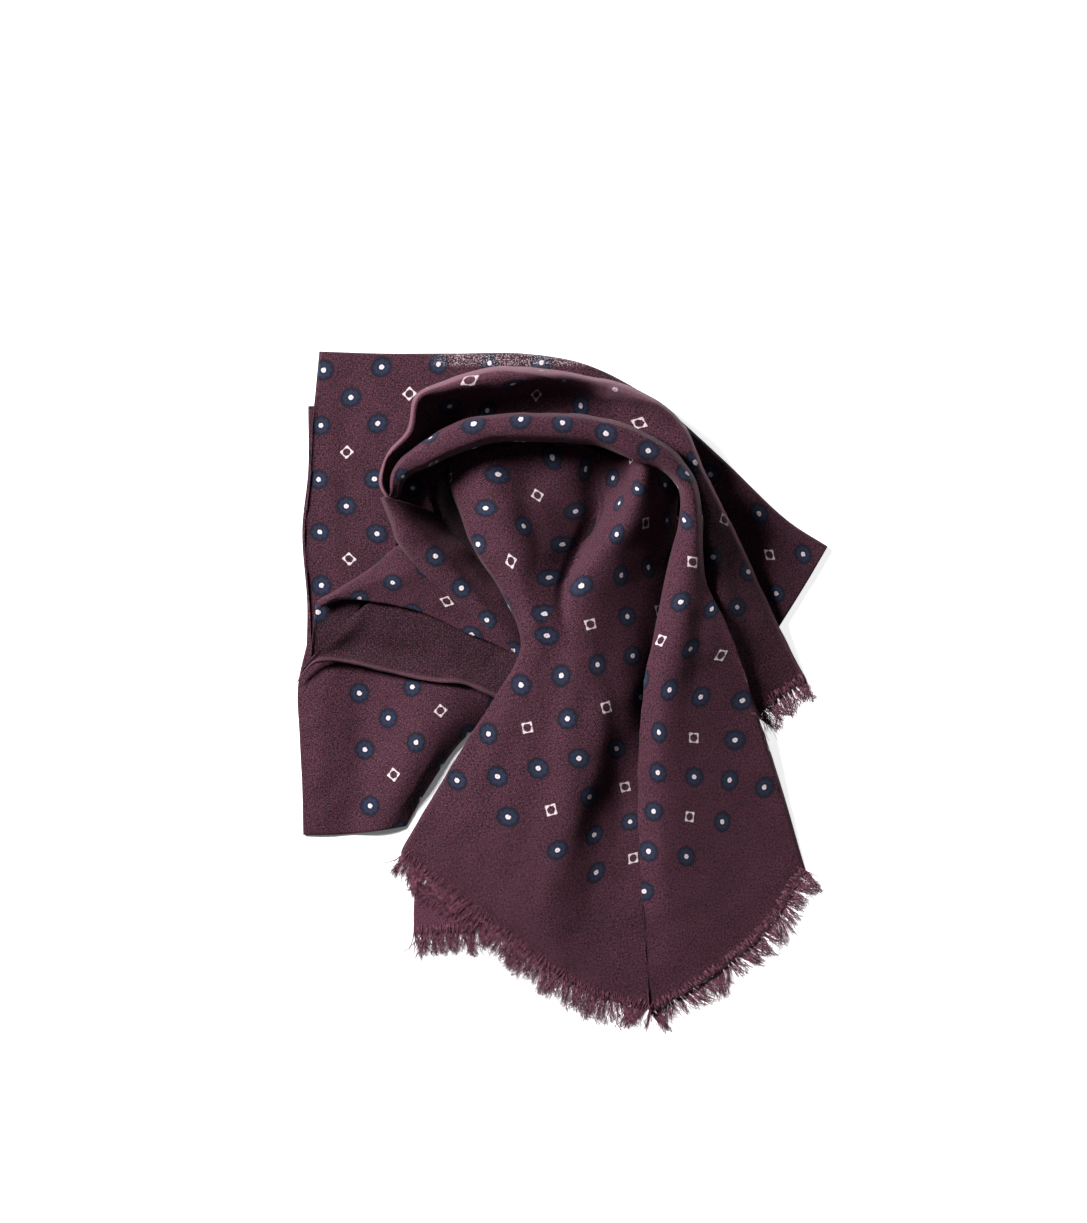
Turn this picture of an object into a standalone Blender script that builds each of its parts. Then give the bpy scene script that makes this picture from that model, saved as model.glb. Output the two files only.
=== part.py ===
"""A fringed wool scarf, doubled lengthwise, looped over itself and laid on a surface.

The scarf is modelled as the stretches of cloth that show, each a thin wall through its own sections, on one
rounded solid that holds the hidden layers. The frame: +X to the right and +Y away from the fringed front when
the scarf is seen from above, +Z up, z = 0 the surface that it lies on. Tables are in millimetres.
"""

import math

import bpy
import numpy as np
from mathutils import Vector
from mathutils.bvhtree import BVHTree

# Driving dimensions, in millimetres.
MM = 0.001
ORIGIN = (-0.7, 1.85, 0.0)  # middle of the scarf in the tables' own coordinates
WALL = 1.2  # the cloth's wall, thicker than the real weave so that it is a sound solid
SEAM = 0.3  # what two stretches keep between them
REST = WALL + 0.02  # height of the upper face of cloth that lies flat on the surface
CELL = 7.0  # usual size of a wall's facets
LAY_AROUND = 2.4  # how far round a point cloth looks for what it lies on
STEEPEST = 0.45  # least upward part of a normal that the wall's height over its pile allows for
FRINGE_LENGTH = 10.0
FRINGE_SHORTEST = 0.72  # a short yarn's share of the fringe's length
FRINGE_LEAN = 0.28  # most that a yarn leans to a side, as a slope
FRINGE_PITCH = 1.75
FRINGE_YARN = 0.62
FRINGE_CLEAR = 0.25  # a yarn's height over the surface
STRIP_WIDTH = 1.5
CORE_LEAST = 1.9  # height of the core at its layered edge
CORE_CLEAR = 0.9  # what the core keeps under the cloth, which crosses its flat facets
CORE_SPOKES = 56
CORE_RINGS = 10
CORE_AROUND = (5.0, 10.0)  # radii at which the core looks for low cloth
CORE_CLOSE = 2.2
CORE_PASSES = 10
HIGHEST = 200.0

WINE = (0.105, 0.031, 0.042)
WINE_LIGHT = (0.150, 0.052, 0.068)
WINE_DARK = (0.060, 0.018, 0.027)

# Each stretch is a table of sections. A row is one section across the cloth, and its columns are the lines
# along the cloth that the heading names, each a point (x, y, z) on the upper face.

# heading: outer edge, inner edge; from the front to the back
UNDER_LAYER = (
    ((-129.0, 18, REST), (-108, 18, REST)),
    ((-128.5, 45, REST), (-108, 45, REST)),
    ((-131.0, 82, REST), (-108, 82, REST)),
    ((-128.0, 113, REST), (-108, 113, REST)),
    ((-128.0, 145, REST), (-108, 145, REST)),
)

# heading: selvedge, middle, side under the fan; from the back to the hem
UNDER_CORNER = (
    ((-74, -94, REST), (-56, -100, REST), (-38, -108, REST)),
    ((-75, -107, REST), (-57, -108, REST), (-40, -113, REST)),
    ((-75, -120, REST), (-59, -119, REST), (-44, -119, REST)),
)

# heading: selvedge, low crown, trough, high crown, turned side; from the back to the front
LOWER_LEFT = (
    ((-128.5, 26, 2.4), (-118, 26, 2.2), (-96, 24, 2.6), (-64, 20, 7.4), (-38, 15, 5.0)),
    ((-133.0, 5, 3.0), (-121, 5, 4.6), (-101, 4, 2.6), (-68, 2, 8.2), (-41, -2, 4.0)),
    ((-132.3, -20, 2.8), (-121, -22, 4.2), (-103, -24, 2.0), (-78, -26, 6.6), (-54, -27, 2.6)),
    ((-131.0, -46, 2.6), (-121, -47, 3.6), (-106, -48, 1.8), (-88, -48, 4.6), (-69, -49, 2.0)),
    ((-130.5, -70.5, REST), (-121, -70.5, 1.8), (-108, -70, REST), (-95, -68.6, 2.4), (-78.6, -66, 1.6)),
)

# heading: folded outer edge, middle, inner edge; up the left side
BACK_LEFT = (
    ((-126.0, 20, 3.0), (-106, 20, 3.5), (-86, 24, 4.0)),
    ((-127.5, 47, 3.0), (-106, 48, 4.0), (-84, 50, 4.6)),
    ((-129.8, 81, 3.0), (-106, 82, 4.4), (-83, 82, 5.4)),
    ((-127.0, 107, 3.1), (-105, 109, 4.7), (-82, 108, 6.0)),
    ((-125.2, 141, 3.0), (-102, 135, 4.8), (-78, 126, 6.6)),
    ((-122.5, 172.5, 2.7), (-97, 157, 4.6), (-68, 139, 7.0)),
)
# the same columns, from the square corner along the back to the right corner
BACK_TOP = (
    BACK_LEFT[-1],
    ((-92, 171.5, 2.9), (-76, 156, 4.8), (-56, 139, 7.0)),
    ((-55, 171.5, 3.2), (-48, 157, 5.2), (-38, 140, 7.4)),
    ((-18, 171.3, 3.4), (-16, 158, 5.6), (-12, 140, 7.8)),
    ((12, 165.8, 3.6), (9, 154, 5.8), (6, 138, 7.8)),
    ((46, 147.8, 3.7), (38, 136, 6.0), (28, 121, 7.8)),
    ((78.5, 120, 3.7), (66, 107, 5.8), (54, 91, 7.6)),
    ((111, 89, 3.4), (96, 76, 5.0), (80, 60, 6.6)),
    ((133, 74.5, 3.0), (121, 54, 3.0), (108.5, 34, 2.8)),
)

# heading: turned left edge, middle, side under the wedge; from fold 1 to the front
FOLD_1_TURN = (
    ((-124.0, 45, 8.2), (-113, 48, 8.4), (-98, 50, 8.2)),
    ((-125.0, 36, 7.2), (-115, 38, 7.4), (-104, 40, 7.2)),
    ((-125.8, 27, 6.4), (-119, 29, 6.4), (-111, 31, 6.2)),
    ((-126.5, 18.6, 5.2), (-123, 20.4, 5.4), (-117, 22, 5.6)),
)

# heading: rolled lower edge, dip behind it, middle, side under fold 1; from the left tip to the right
WEDGE = (
    ((-133.4, 6, 6.4), (-132.2, 9, 6.6), (-130.8, 12, 6.8), (-129, 15.5, 7.2)),
    ((-125.0, 15.6, 10.4), (-122.6, 19, 8.2), (-120, 23, 8.6), (-117.5, 27.5, 9.2)),
    ((-108.0, 15.6, 11.6), (-106.5, 21, 8.0), (-103.5, 33, 9.8), (-99.5, 44.5, 11.4)),
    ((-88.5, 11, 12.0), (-87, 17.5, 8.2), (-85, 33, 10.0), (-81, 51, 12.0)),
    ((-65.0, 6.5, 12.4), (-64, 13, 9.0), (-61, 29, 10.4), (-56, 46, 12.4)),
    ((-50.0, 5, 12.6), (-48, 11.5, 9.2), (-44, 24, 10.6), (-38, 38, 12.2)),
    ((-29.0, -4, 11.6), (-25, 3, 9.6), (-20, 15, 10.8), (-14, 26, 12)),
)

# heading: upper edge, crown, lower edge; from the left tip to the right
FOLD_1 = (
    ((-123.2, 47.2, 12.4), (-122.2, 45.2, 12.8), (-121.6, 43, 12.2)),
    ((-114.5, 51.8, 14.0), (-114, 49.6, 14.8), (-113.8, 47, 14.0)),
    ((-105.0, 57.8, 14.8), (-104.6, 53, 16.0), (-104.5, 47.6, 14.8)),
    ((-93.5, 66, 15.2), (-93, 57, 17.0), (-92.5, 46, 15.2)),
    ((-80.0, 76, 15.6), (-77, 62, 17.4), (-73.5, 41.6, 15.4)),
    ((-62.0, 72, 16.0), (-58, 56, 16.8), (-52, 32.8, 15.4)),
    ((-40.0, 56, 15.2), (-36, 43, 15.4), (-30, 23.5, 14.6)),
    ((-27.0, 42, 14.4), (-21, 30, 14.6), (-13, 13.5, 14.0)),
)

# heading: foot of the outer face, rim, inner face, trough, side under the roll; from the loop's left end,
# round the back, to the fringed right end
WRAP = (
    ((-87.5, 97, 30), (-85.6, 97, 30), (-82, 96.6, 24), (-75, 95, 17), (-64, 91, 13)),
    ((-92.0, 106, 36), (-89.6, 106, 36), (-86, 105.4, 27), (-79, 104, 18), (-67, 101, 14)),
    ((-89.0, 119, 39), (-86.4, 118, 39), (-83, 116, 28), (-77, 113, 18), (-66, 107, 15)),
    ((-78.0, 133, 41), (-74.6, 130.5, 41), (-71, 127.5, 29), (-65, 121.5, 19), (-57, 114, 16)),
    ((-73.8, 150, 42), (-70.6, 147.6, 42), (-66.5, 142.5, 30), (-60, 133, 20), (-50, 122, 17)),
    ((-58.5, 157.6, 43), (-56, 151.6, 43), (-54, 147, 30), (-49.5, 138.5, 20), (-42, 128, 17)),
    ((-34.0, 164.2, 43), (-32.4, 154.2, 43), (-31, 150, 29), (-27.5, 142, 20), (-23, 130, 17)),
    ((5.0, 161.2, 42), (5.3, 158, 42), (5.6, 153.6, 29), (6, 143.5, 20), (6, 131, 17)),
    ((38.5, 152.5, 34), (37.2, 149.6, 34), (35, 145.4, 25), (30, 136.5, 19.5), (24, 124, 16)),
    ((60.5, 135.5, 25), (59, 133.4, 25.4), (55, 128.5, 23), (48, 120, 20), (38, 110, 15)),
    ((72.5, 108, 22), (70.8, 107, 22.6), (66.5, 104, 25.6), (58, 99, 26), (48, 92, 16)),
    ((86.5, 79.5, 16.6), (84.8, 79, 17.4), (78, 76.8, 22.6), (69, 73, 27.6), (56, 67, 18)),
    ((100.5, 50.5, 11), (99, 50, 11.6), (90, 47.6, 16.4), (77, 44.6, 23), (60, 40, 18)),
    ((113.0, 25, 5.2), (111.6, 24, 5.6), (101, 20.6, 8.4), (87, 16, 12.4), (68, 10, 12)),
    ((122.5, 7.5, REST), (120.6, 6.2, 1.3), (114.5, 2.2, 1.4), (106.5, -3, 1.8), (97.5, -12, 1.6)),
)

# heading: left edge, crest, middle, side under the centre; from the loop's left end to under the fan
BAND = (
    ((-91.5, 98.5, 28), (-88, 98.5, 32), (-81, 96.5, 28), (-69, 93, 16)),
    ((-86.8, 87, 24), (-82.5, 89, 28.5), (-74, 89, 24.4), (-59, 88, 11)),
    ((-82.3, 75.5, 22), (-77, 79, 26), (-68, 82, 22), (-52, 83, 10.4)),
    ((-73.8, 65, 20.4), (-68, 69, 24), (-60, 73.5, 20.4), (-44, 75, 10)),
    ((-61.2, 53.2, 19.6), (-56, 57.5, 22.4), (-49.5, 61.5, 19.2), (-35, 64, 10)),
    ((-45.3, 40.5, 18.8), (-41, 45, 21), (-35, 49, 18), (-23, 52, 10.4)),
    ((-32.2, 28.6, 18.2), (-28.5, 32.5, 19.6), (-24, 36.5, 17.2), (-14, 41, 11)),
    ((-20.4, 17.6, 15.2), (-17.4, 21, 16.2), (-12, 25.5, 15), (-4, 29, 11)),
    ((-8.4, 5.8, 14.8), (-6, 8.5, 15.4), (-1, 12, 14.4), (6, 15, 12)),
)

# heading: left edge, left crown, slope, foot of the slope, valley, the second ridge's brow, its crest,
# shoulder, side under the third ridge; from under the roll to the fringed hem
FRONT_LEFT = (
    ((-57, 121, 25), (-38, 125, 29.6), (-14, 126, 26), (7, 124, 22.6), (17.5, 122, 17),
     (24, 121.5, 31), (32, 121, 40.6), (45, 117, 34.6), (57, 112, 14)),
    ((-57, 107, 25), (-39, 109, 32), (-17, 109, 26), (6, 107, 22.6), (18.5, 105, 15),
     (26.5, 104, 30.6), (34, 104, 37.6), (44.5, 102, 32), (57.5, 99, 12)),
    ((-52.4, 92, 25), (-33, 92, 33.4), (-12, 92, 26.6), (8, 92, 19.6), (20, 92, 14.6),
     (24.5, 91, 29), (31.5, 90, 34.4), (44, 88, 29), (57, 86, 11)),
    ((-43.6, 71, 24), (-26, 72, 32.6), (-11, 72, 27.4), (1, 72, 20.6), (9.5, 72, 16.4),
     (14.5, 72, 28.4), (23, 72, 31.8), (42, 72, 21.8), (54, 72, 10.6)),
    ((-29.6, 49, 23), (-20, 49.5, 29), (-12, 49.5, 28), (-5, 49.5, 26), (0, 49.5, 23.6),
     (4, 49.5, 28), (12, 49.5, 29.8), (38, 50, 19.4), (51.5, 51, 10)),
    ((-20.4, 23.5, 20.6), (-12.5, 24, 25.2), (-6, 24, 26), (-1, 24, 26.2), (4, 24, 26.6),
     (9, 24, 26.8), (16, 24, 26.2), (36, 24, 18.2), (47, 24, 10)),
    ((-34, -1.3, 14), (-17, -0.5, 19.6), (-5, 0, 22), (3, 0, 23), (10, 0, 23.8),
     (17, 0, 24.2), (23, 0, 23.4), (34, 0, 17.8), (43, 0, 9.4)),
    ((-53.2, -31, 8.4), (-33, -32, 13), (-17, -32, 16.2), (-6, -32, 18), (3, -32, 19.4),
     (10, -32, 20), (17, -32, 19.2), (29, -31, 12.6), (42, -30, 7.6)),
    ((-73, -64, 4.6), (-52, -67, 8), (-33, -70, 11), (-19, -71, 13), (-9, -70, 14.4),
     (-1, -69, 15), (6, -67, 14.4), (20, -61, 8.4), (42, -56, 5.6)),
    ((-80.6, -77, 3), (-64, -84, 4.6), (-47, -91.5, 6.2), (-32, -98, 7.6), (-20, -103.5, 9),
     (-10, -107.5, 10), (-3, -110, 9.4), (16, -113, 5.2), (42, -114, 4)),
    ((-81.5, -81, 3.1), (-66, -93, 3.1), (-50, -105.4, 2.9), (-37, -116, 2.9), (-26, -124.5, 2.4),
     (-16, -132, 1.8), (-7, -138.5, 1.8), (16, -151.5, 1.8), (42, -159.6, REST)),
)

# heading: outer side, outer crown, inner crown, inner side; the roll from its left tip, round the back, then
# the third ridge and the fan's right half to the fringed hem
FRONT_RIGHT = (
    ((-85.6, 101, 35.4), (-83.6, 101, 37), (-82, 101, 37), (-80.4, 101, 35.4)),
    ((-84.6, 112, 40), (-82.4, 111, 41.8), (-79.6, 109.6, 41.8), (-77.2, 108.5, 40)),
    ((-73, 124, 43.4), (-70.6, 120.6, 45.2), (-68, 117, 45.2), (-65.6, 114, 43.4)),
    ((-50.5, 137, 46.4), (-49.6, 132, 48), (-48.4, 126.5, 48), (-47.2, 122, 46)),
    ((-32, 140, 47.2), (-31.6, 135.4, 49), (-31, 130, 49), (-30.5, 126, 46.6)),
    ((-5, 140.6, 47.4), (-5, 136, 49.2), (-5, 130, 49), (-5, 125.4, 46.4)),
    ((18, 138.6, 47), (17.8, 134, 48.8), (17.2, 128.6, 48.2), (16.6, 124, 45)),
    ((38.6, 132.2, 45.4), (36.6, 127.6, 48), (34.2, 122, 47.6), (32.2, 117.6, 45)),
    ((56, 121.6, 42.6), (53, 118.2, 46.2), (50, 115, 45.4), (47.4, 112.4, 40.6)),
    ((66.2, 106, 39.8), (63.2, 104.4, 43.4), (60.4, 103, 42.6), (57.8, 101.6, 38.6)),
    ((69.4, 88, 36), (66, 87.6, 39.8), (61.4, 86.4, 38.6), (57, 85, 33.4)),
    ((69.8, 70, 32.6), (65.6, 70, 36.2), (59.6, 70, 34.8), (53.6, 70, 29)),
    ((72.8, 54, 27.6), (65.6, 54, 31.6), (57.6, 54, 31.8), (50, 55, 25.6)),
    ((81, 37, 21.6), (70.4, 36, 26), (57.4, 36, 29.8), (46.6, 36, 23.4)),
    ((92.2, 8.5, 12), (73, 8, 17.8), (50.4, 8, 25), (41, 10, 18.8)),
    ((102.2, -22, 9), (75, -22, 13.8), (48.4, -22, 20.8), (38.2, -22, 14.4)),
    ((111.6, -52, 4.8), (79, -52, 9.8), (48.4, -53, 15.4), (37.6, -54, 10.4)),
    ((119, -78, 2.6), (81, -87, 5.4), (52, -94, 10.4), (39.4, -97, 6.6)),
    ((122, -88, REST), (101, -119.5, 1.6), (74, -142, 2.0), (43.6, -160, 2.9)),
)

# How far the edges turn down, as pairs: a share of the way along the stretch, and the height of the edge's
# foot or the reach of its turn there.
BACK_FOOT = ((0, 1.55), (0.27, 1.55), (0.33, 0.4), (1, 0.3))
WEDGE_FOOT = ((0, 3.5), (0.08, 7.4), (0.2, 7.2), (0.6, 7.0), (1, 7.5))
FOLD_1_UPPER_FOOT = ((0, 10), (0.25, 8), (0.5, 9), (0.8, 12), (1, 13))
FOLD_1_LOWER_FOOT = ((0, 10), (0.5, 11.5), (1, 12))
WRAP_REACH = (
    (0, 1.9), (0.07, 2.4), (0.14, 2.6), (0.21, 4), (0.29, 4), (0.36, 6.5), (0.43, 10), (0.5, 3.2),
    (0.57, 2.9), (0.64, 2.2), (0.71, 1.9), (1, 1.6),
)
WRAP_FOOT = (
    (0, 24), (0.07, 12), (0.14, 9), (0.5, 8), (0.6, 10), (0.67, 12), (0.73, 11), (0.82, 8), (0.9, 4.5),
    (0.96, 2), (1, 0.1),
)
BAND_FOOT = ((0, 16), (0.15, 10), (0.3, 17), (0.5, 17), (0.75, 15.5), (1, 13))
FRONT_LEFT_FOOT = (
    (0, 17), (0.1, 16), (0.25, 13.5), (0.4, 12.4), (0.5, 12), (0.6, 8), (0.7, 2), (0.85, 0.4), (1, 0.2),
)
ROLL_OUTER_REACH = (
    (0, 1.6), (0.08, 2.8), (0.15, 3.2), (0.4, 3.4), (0.48, 3.4), (0.6, 3.2), (0.8, 2.4), (1, 1.8),
)
ROLL_OUTER_FOOT = (
    (0, 28), (0.1, 28), (0.3, 26), (0.4, 25), (0.48, 22), (0.56, 18), (0.62, 13), (0.7, 5), (0.78, 0.3),
    (1, 0.1),
)
ROLL_INNER_REACH = (
    (0, 1.6), (0.08, 2.8), (0.15, 3.2), (0.28, 3.2), (0.34, 2), (0.4, 2.6), (0.7, 2.4), (1, 1.8),
)
ROLL_INNER_FOOT = (
    (0, 30), (0.1, 32), (0.25, 37), (0.30, 38), (0.34, 44), (0.37, 42), (0.41, 27), (0.5, 20), (0.6, 16),
    (0.7, 12), (0.8, 9.5), (0.92, 6), (1, 2),
)

# The core's outline, from the left going round the back; it holds the layers that nothing shows.
CORE_OUTLINE = (
    (-104, 26), (-104, 90), (-102, 150), (-88, 163), (-20, 163), (10, 157), (42, 139), (74, 112), (104, 84),
    (120, 68), (110, 49), (98, 28), (84, 2), (95, -22), (102, -50), (104, -74), (88, -102), (64, -120),
    (40, -130), (4, -118), (-30, -100), (-62, -72), (-46, -34), (-28, -2), (-30, 12), (-58, 26), (-84, 30),
)
CORE_CENTRE = (6.0, 26.0)
# its layered edge, from the surface up: how far each line stands out, and its height
CORE_RIM = ((1.2, 0.0), (0.2, 0.45), (1.2, 0.85), (0.2, 1.25), (1.2, 1.6))


def spline(points, count):
    """`count` points of a smooth curve through `points`, evenly spread along its rows' own spacing."""
    rows = np.asarray(points, float)
    gaps = np.linalg.norm(np.diff(rows[..., :2], axis=0), axis=-1).reshape(len(rows) - 1, -1).mean(axis=1)
    knots = np.concatenate([[0.0], np.cumsum(np.sqrt(gaps + 1e-6))])
    lengths = np.concatenate([[0.0], np.cumsum(gaps)])
    places = np.interp(np.linspace(0, lengths[-1], count), lengths, knots)
    slopes = np.gradient(rows, knots, axis=0)
    found = []
    for place in places:
        i = min(int(np.searchsorted(knots, place, side="right")) - 1, len(rows) - 2)
        span = knots[i + 1] - knots[i]
        found.append(hermite((place - knots[i]) / span, span, rows[i], rows[i + 1], slopes[i], slopes[i + 1]))
    return np.array(found)


def hermite(t, span, start, end, start_slope, end_slope):
    """The point a share `t` of the way along a cubic piece."""
    ends = (2 * t**3 - 3 * t**2 + 1) * start + (3 * t**2 - 2 * t**3) * end
    return ends + span * ((t**3 - 2 * t**2 + t) * start_slope + (t**3 - t**2) * end_slope)


def cubic(knots, points, place):
    """The point at `place` on the smooth line across a section."""
    i = min(max(int(np.searchsorted(knots, place, side="right")) - 1, 0), len(knots) - 2)
    rises = np.diff(points, axis=0) / np.diff(knots)[:, None]
    start = (rises[i - 1] + rises[i]) / 2 if i else rises[i]
    end = (rises[i] + rises[i + 1]) / 2 if i + 1 < len(rises) else rises[i]
    span = knots[i + 1] - knots[i]
    return hermite((place - knots[i]) / span, span, points[i], points[i + 1], start, end)


# Where a turned edge has its lines, as shares of its reach: 0, 30, 60 and 90 degrees round the turn.
TURN_SHARES = [1 - math.cos(math.radians(step)) for step in (0, 30, 60, 90)]


class Turn:
    """How an edge turns down: its reach inwards, and the height of its foot. Each is a number, or pairs of a
    share of the way from the first section to the last and the value there."""

    def __init__(self, reach, foot):
        self.reach = reach
        self.foot = foot

    @staticmethod
    def spread(value, count):
        """The value at each of `count` sections."""
        if isinstance(value, (int, float)):
            return np.full(count, float(value))
        shares, values = zip(*value)
        return np.interp(np.linspace(0, 1, count), shares, values)


NO_TURN = Turn(0, 0)


def sections(runs, cell):
    """The sections of one or more tables that meet at sharp corners, refined along the cloth."""
    found = []
    for run in runs:
        net = np.asarray(run, float)
        middle = net[:, net.shape[1] // 2, :2]
        outer = net[:, 0, :2]
        length = max(np.linalg.norm(np.diff(line, axis=0), axis=1).sum() for line in (middle, outer))
        fine = spline(net, max(3, round(length / cell) + 1))
        found.append(fine[1:] if found else fine)
    return np.concatenate(found)


def places_across(start, end, knots, counts):
    """Places from 0 to 1 across a section: close together in its turned edges, which take the shares `start`
    and `end` of it, and along its columns, at `knots`, with `counts` steps from each column to the next."""
    first = [start * share for share in TURN_SHARES] if start else [0.0]
    last = [1 - end * share for share in reversed(TURN_SHARES)] if end else [1.0]
    columns = [np.linspace(a, b, count + 1)[1:] for a, b, count in zip(knots, knots[1:], counts)]
    between = start + (1 - start - end) * np.concatenate(columns)[:-1]
    return np.concatenate([first, between, last])


def upper_face(runs, first=NO_TURN, last=NO_TURN, cell=CELL):
    """Grid of points on a stretch's upper face; `first` and `last` turn down its two long edges."""
    rough = sections(runs, cell)
    count = len(rough)
    steps = np.linalg.norm(np.diff(rough[:, :, :2], axis=1), axis=2)
    widths = steps.sum(axis=1)
    reaches = np.array([Turn.spread(turn.reach, count) for turn in (first, last)])
    feet = np.array([Turn.spread(turn.foot, count) for turn in (first, last)])
    counts = [max(1, round(float(width) / cell)) for width in np.median(steps, axis=0)]
    shares = np.minimum(reaches / widths, 0.45)
    grid = []
    for k, section in enumerate(rough):
        knots = np.concatenate([[0.0], np.cumsum(steps[k])]) / widths[k]
        places = places_across(*shares[:, k], knots, counts)
        fine = np.array([cubic(knots, section, place) for place in places])
        for side, inwards in enumerate((places, 1 - places)):
            if shares[side, k]:
                inside = np.clip(1 - inwards * widths[k] / reaches[side, k], 0, 1)
                edge = fine[-side, 2]
                fine[:, 2] -= (edge - feet[side, k]) * (1 - np.sqrt(1 - inside**2))
        grid.append(fine)
    return np.array(grid)


def normals_of(grid):
    """Unit normals of a grid of points, pointing up."""
    found = np.cross(np.gradient(grid, axis=0), np.gradient(grid, axis=1))
    found /= np.linalg.norm(found, axis=2, keepdims=True) + 1e-12
    return found * (-1.0 if found[..., 2].mean() < 0 else 1.0)


def wall_mesh(grid):
    """Points and faces of the closed wall under a grid: upper face, lower face and rim."""
    rows, columns = grid.shape[:2]
    under = grid - WALL * normals_of(grid)
    under[..., 2] = np.maximum(under[..., 2], 0.0)
    points = np.concatenate([grid.reshape(-1, 3), under.reshape(-1, 3)])
    index = np.arange(rows * columns).reshape(rows, columns)
    below = index + rows * columns
    faces = []
    for i, j in np.ndindex(rows - 1, columns - 1):
        faces.append((index[i, j], index[i, j + 1], index[i + 1, j + 1], index[i + 1, j]))
        faces.append((below[i, j], below[i + 1, j], below[i + 1, j + 1], below[i, j + 1]))
    border = [*index[0, :-1], *index[:-1, -1], *index[-1, :0:-1], *index[:0:-1, 0]]
    for start, end in zip(border, border[1:] + border[:1]):
        faces.append((end, start, start + rows * columns, end + rows * columns))
    return points, faces


def outward(points, faces):
    """The faces, turned over where the body would be inside out."""
    volume = 0.0
    for face in faces:
        for second, third in zip(face[1:], face[2:]):
            volume += float(np.dot(points[face[0]], np.cross(points[second], points[third])))
    return faces if volume > 0 else [tuple(reversed(face)) for face in faces]


def add_solid(name, points, faces, colour):
    """A named object with its own cloth material."""
    mesh = bpy.data.meshes.new(name)
    placed = [tuple(point) for point in (points - np.array(ORIGIN)) * MM]
    mesh.from_pydata(placed, [], [tuple(int(i) for i in face) for face in outward(points, faces)])
    mesh.validate()
    material = bpy.data.materials.new(name)
    material.use_nodes = True
    shader = material.node_tree.nodes["Principled BSDF"]
    shader.inputs["Base Color"].default_value = (*colour, 1)
    shader.inputs["Roughness"].default_value = 0.9
    shader.inputs["Metallic"].default_value = 0.0
    mesh.materials.append(material)
    mesh.shade_smooth()
    mesh.set_sharp_from_angle(angle=math.radians(50))
    bpy.context.scene.collection.objects.link(bpy.data.objects.new(name, mesh))


class Pile:
    """What has been laid so far, so that the next stretch lies over it."""

    def __init__(self):
        self.trees = []

    def add(self, points, faces):
        corners = [tuple(map(int, face)) for face in faces]
        self.trees.append(BVHTree.FromPolygons([Vector(point) for point in points], corners))

    def heights(self, x, y, start, way):
        """Heights of the first face that each laid piece shows to a ray at a place."""
        hits = [tree.ray_cast(Vector((x, y, start)), Vector((0, 0, way)))[0] for tree in self.trees]
        return [hit.z for hit in hits if hit]

    def top(self, x, y):
        """Height of what lies at a place, or 0."""
        return max(self.heights(x, y, HIGHEST, -1), default=0.0)

    def bottom(self, x, y):
        """Height of the lowest face over a place, or HIGHEST."""
        return min(self.heights(x, y, -1, 1), default=HIGHEST)


def circle(radius, count):
    """Offsets evenly round a circle."""
    angles = [math.tau * k / count for k in range(count)]
    return [(radius * math.cos(angle), radius * math.sin(angle)) for angle in angles]


def lay_over(grid, pile):
    """The grid raised where it would sink into what lies below it, with the raise spread softly."""
    around = [(0, 0)] + circle(LAY_AROUND, 6)
    slope = np.clip(normals_of(grid)[..., 2], STEEPEST, 1)
    lift = np.zeros(grid.shape[:2])
    for i, j in np.ndindex(*lift.shape):
        x, y, z = grid[i, j]
        top = max(pile.top(x + dx, y + dy) for dx, dy in around)
        if top:
            lift[i, j] = max(0.0, top + SEAM + WALL / slope[i, j] - z)
    spread = lift.copy()
    for _ in range(3):
        padded = np.pad(spread, 1, mode="edge")
        mean = (padded[:-2, 1:-1] + padded[2:, 1:-1] + padded[1:-1, :-2] + padded[1:-1, 2:] + 2 * spread) / 6
        spread = np.maximum(lift, mean)
    return grid + np.stack([0 * spread, 0 * spread, spread], axis=-1)


def stretch(name, runs, pile, colour=WINE, first=NO_TURN, last=NO_TURN, cell=CELL):
    """One stretch of cloth: its wall laid over the pile and added to it. Returns its upper face."""
    grid = lay_over(upper_face(runs, first, last, cell), pile)
    points, faces = wall_mesh(grid)
    pile.add(points, faces)
    add_solid(name, points, faces, colour)
    return grid


def even_line(line, count):
    """`count` points evenly along a line, and its length."""
    line = np.asarray(line, float)
    knots = np.concatenate([[0.0], np.cumsum(np.linalg.norm(np.diff(line, axis=0), axis=1))])
    places = np.linspace(0, knots[-1], count)
    return np.array([[np.interp(place, knots, line[:, k]) for k in range(3)] for place in places]), knots[-1]


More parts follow.
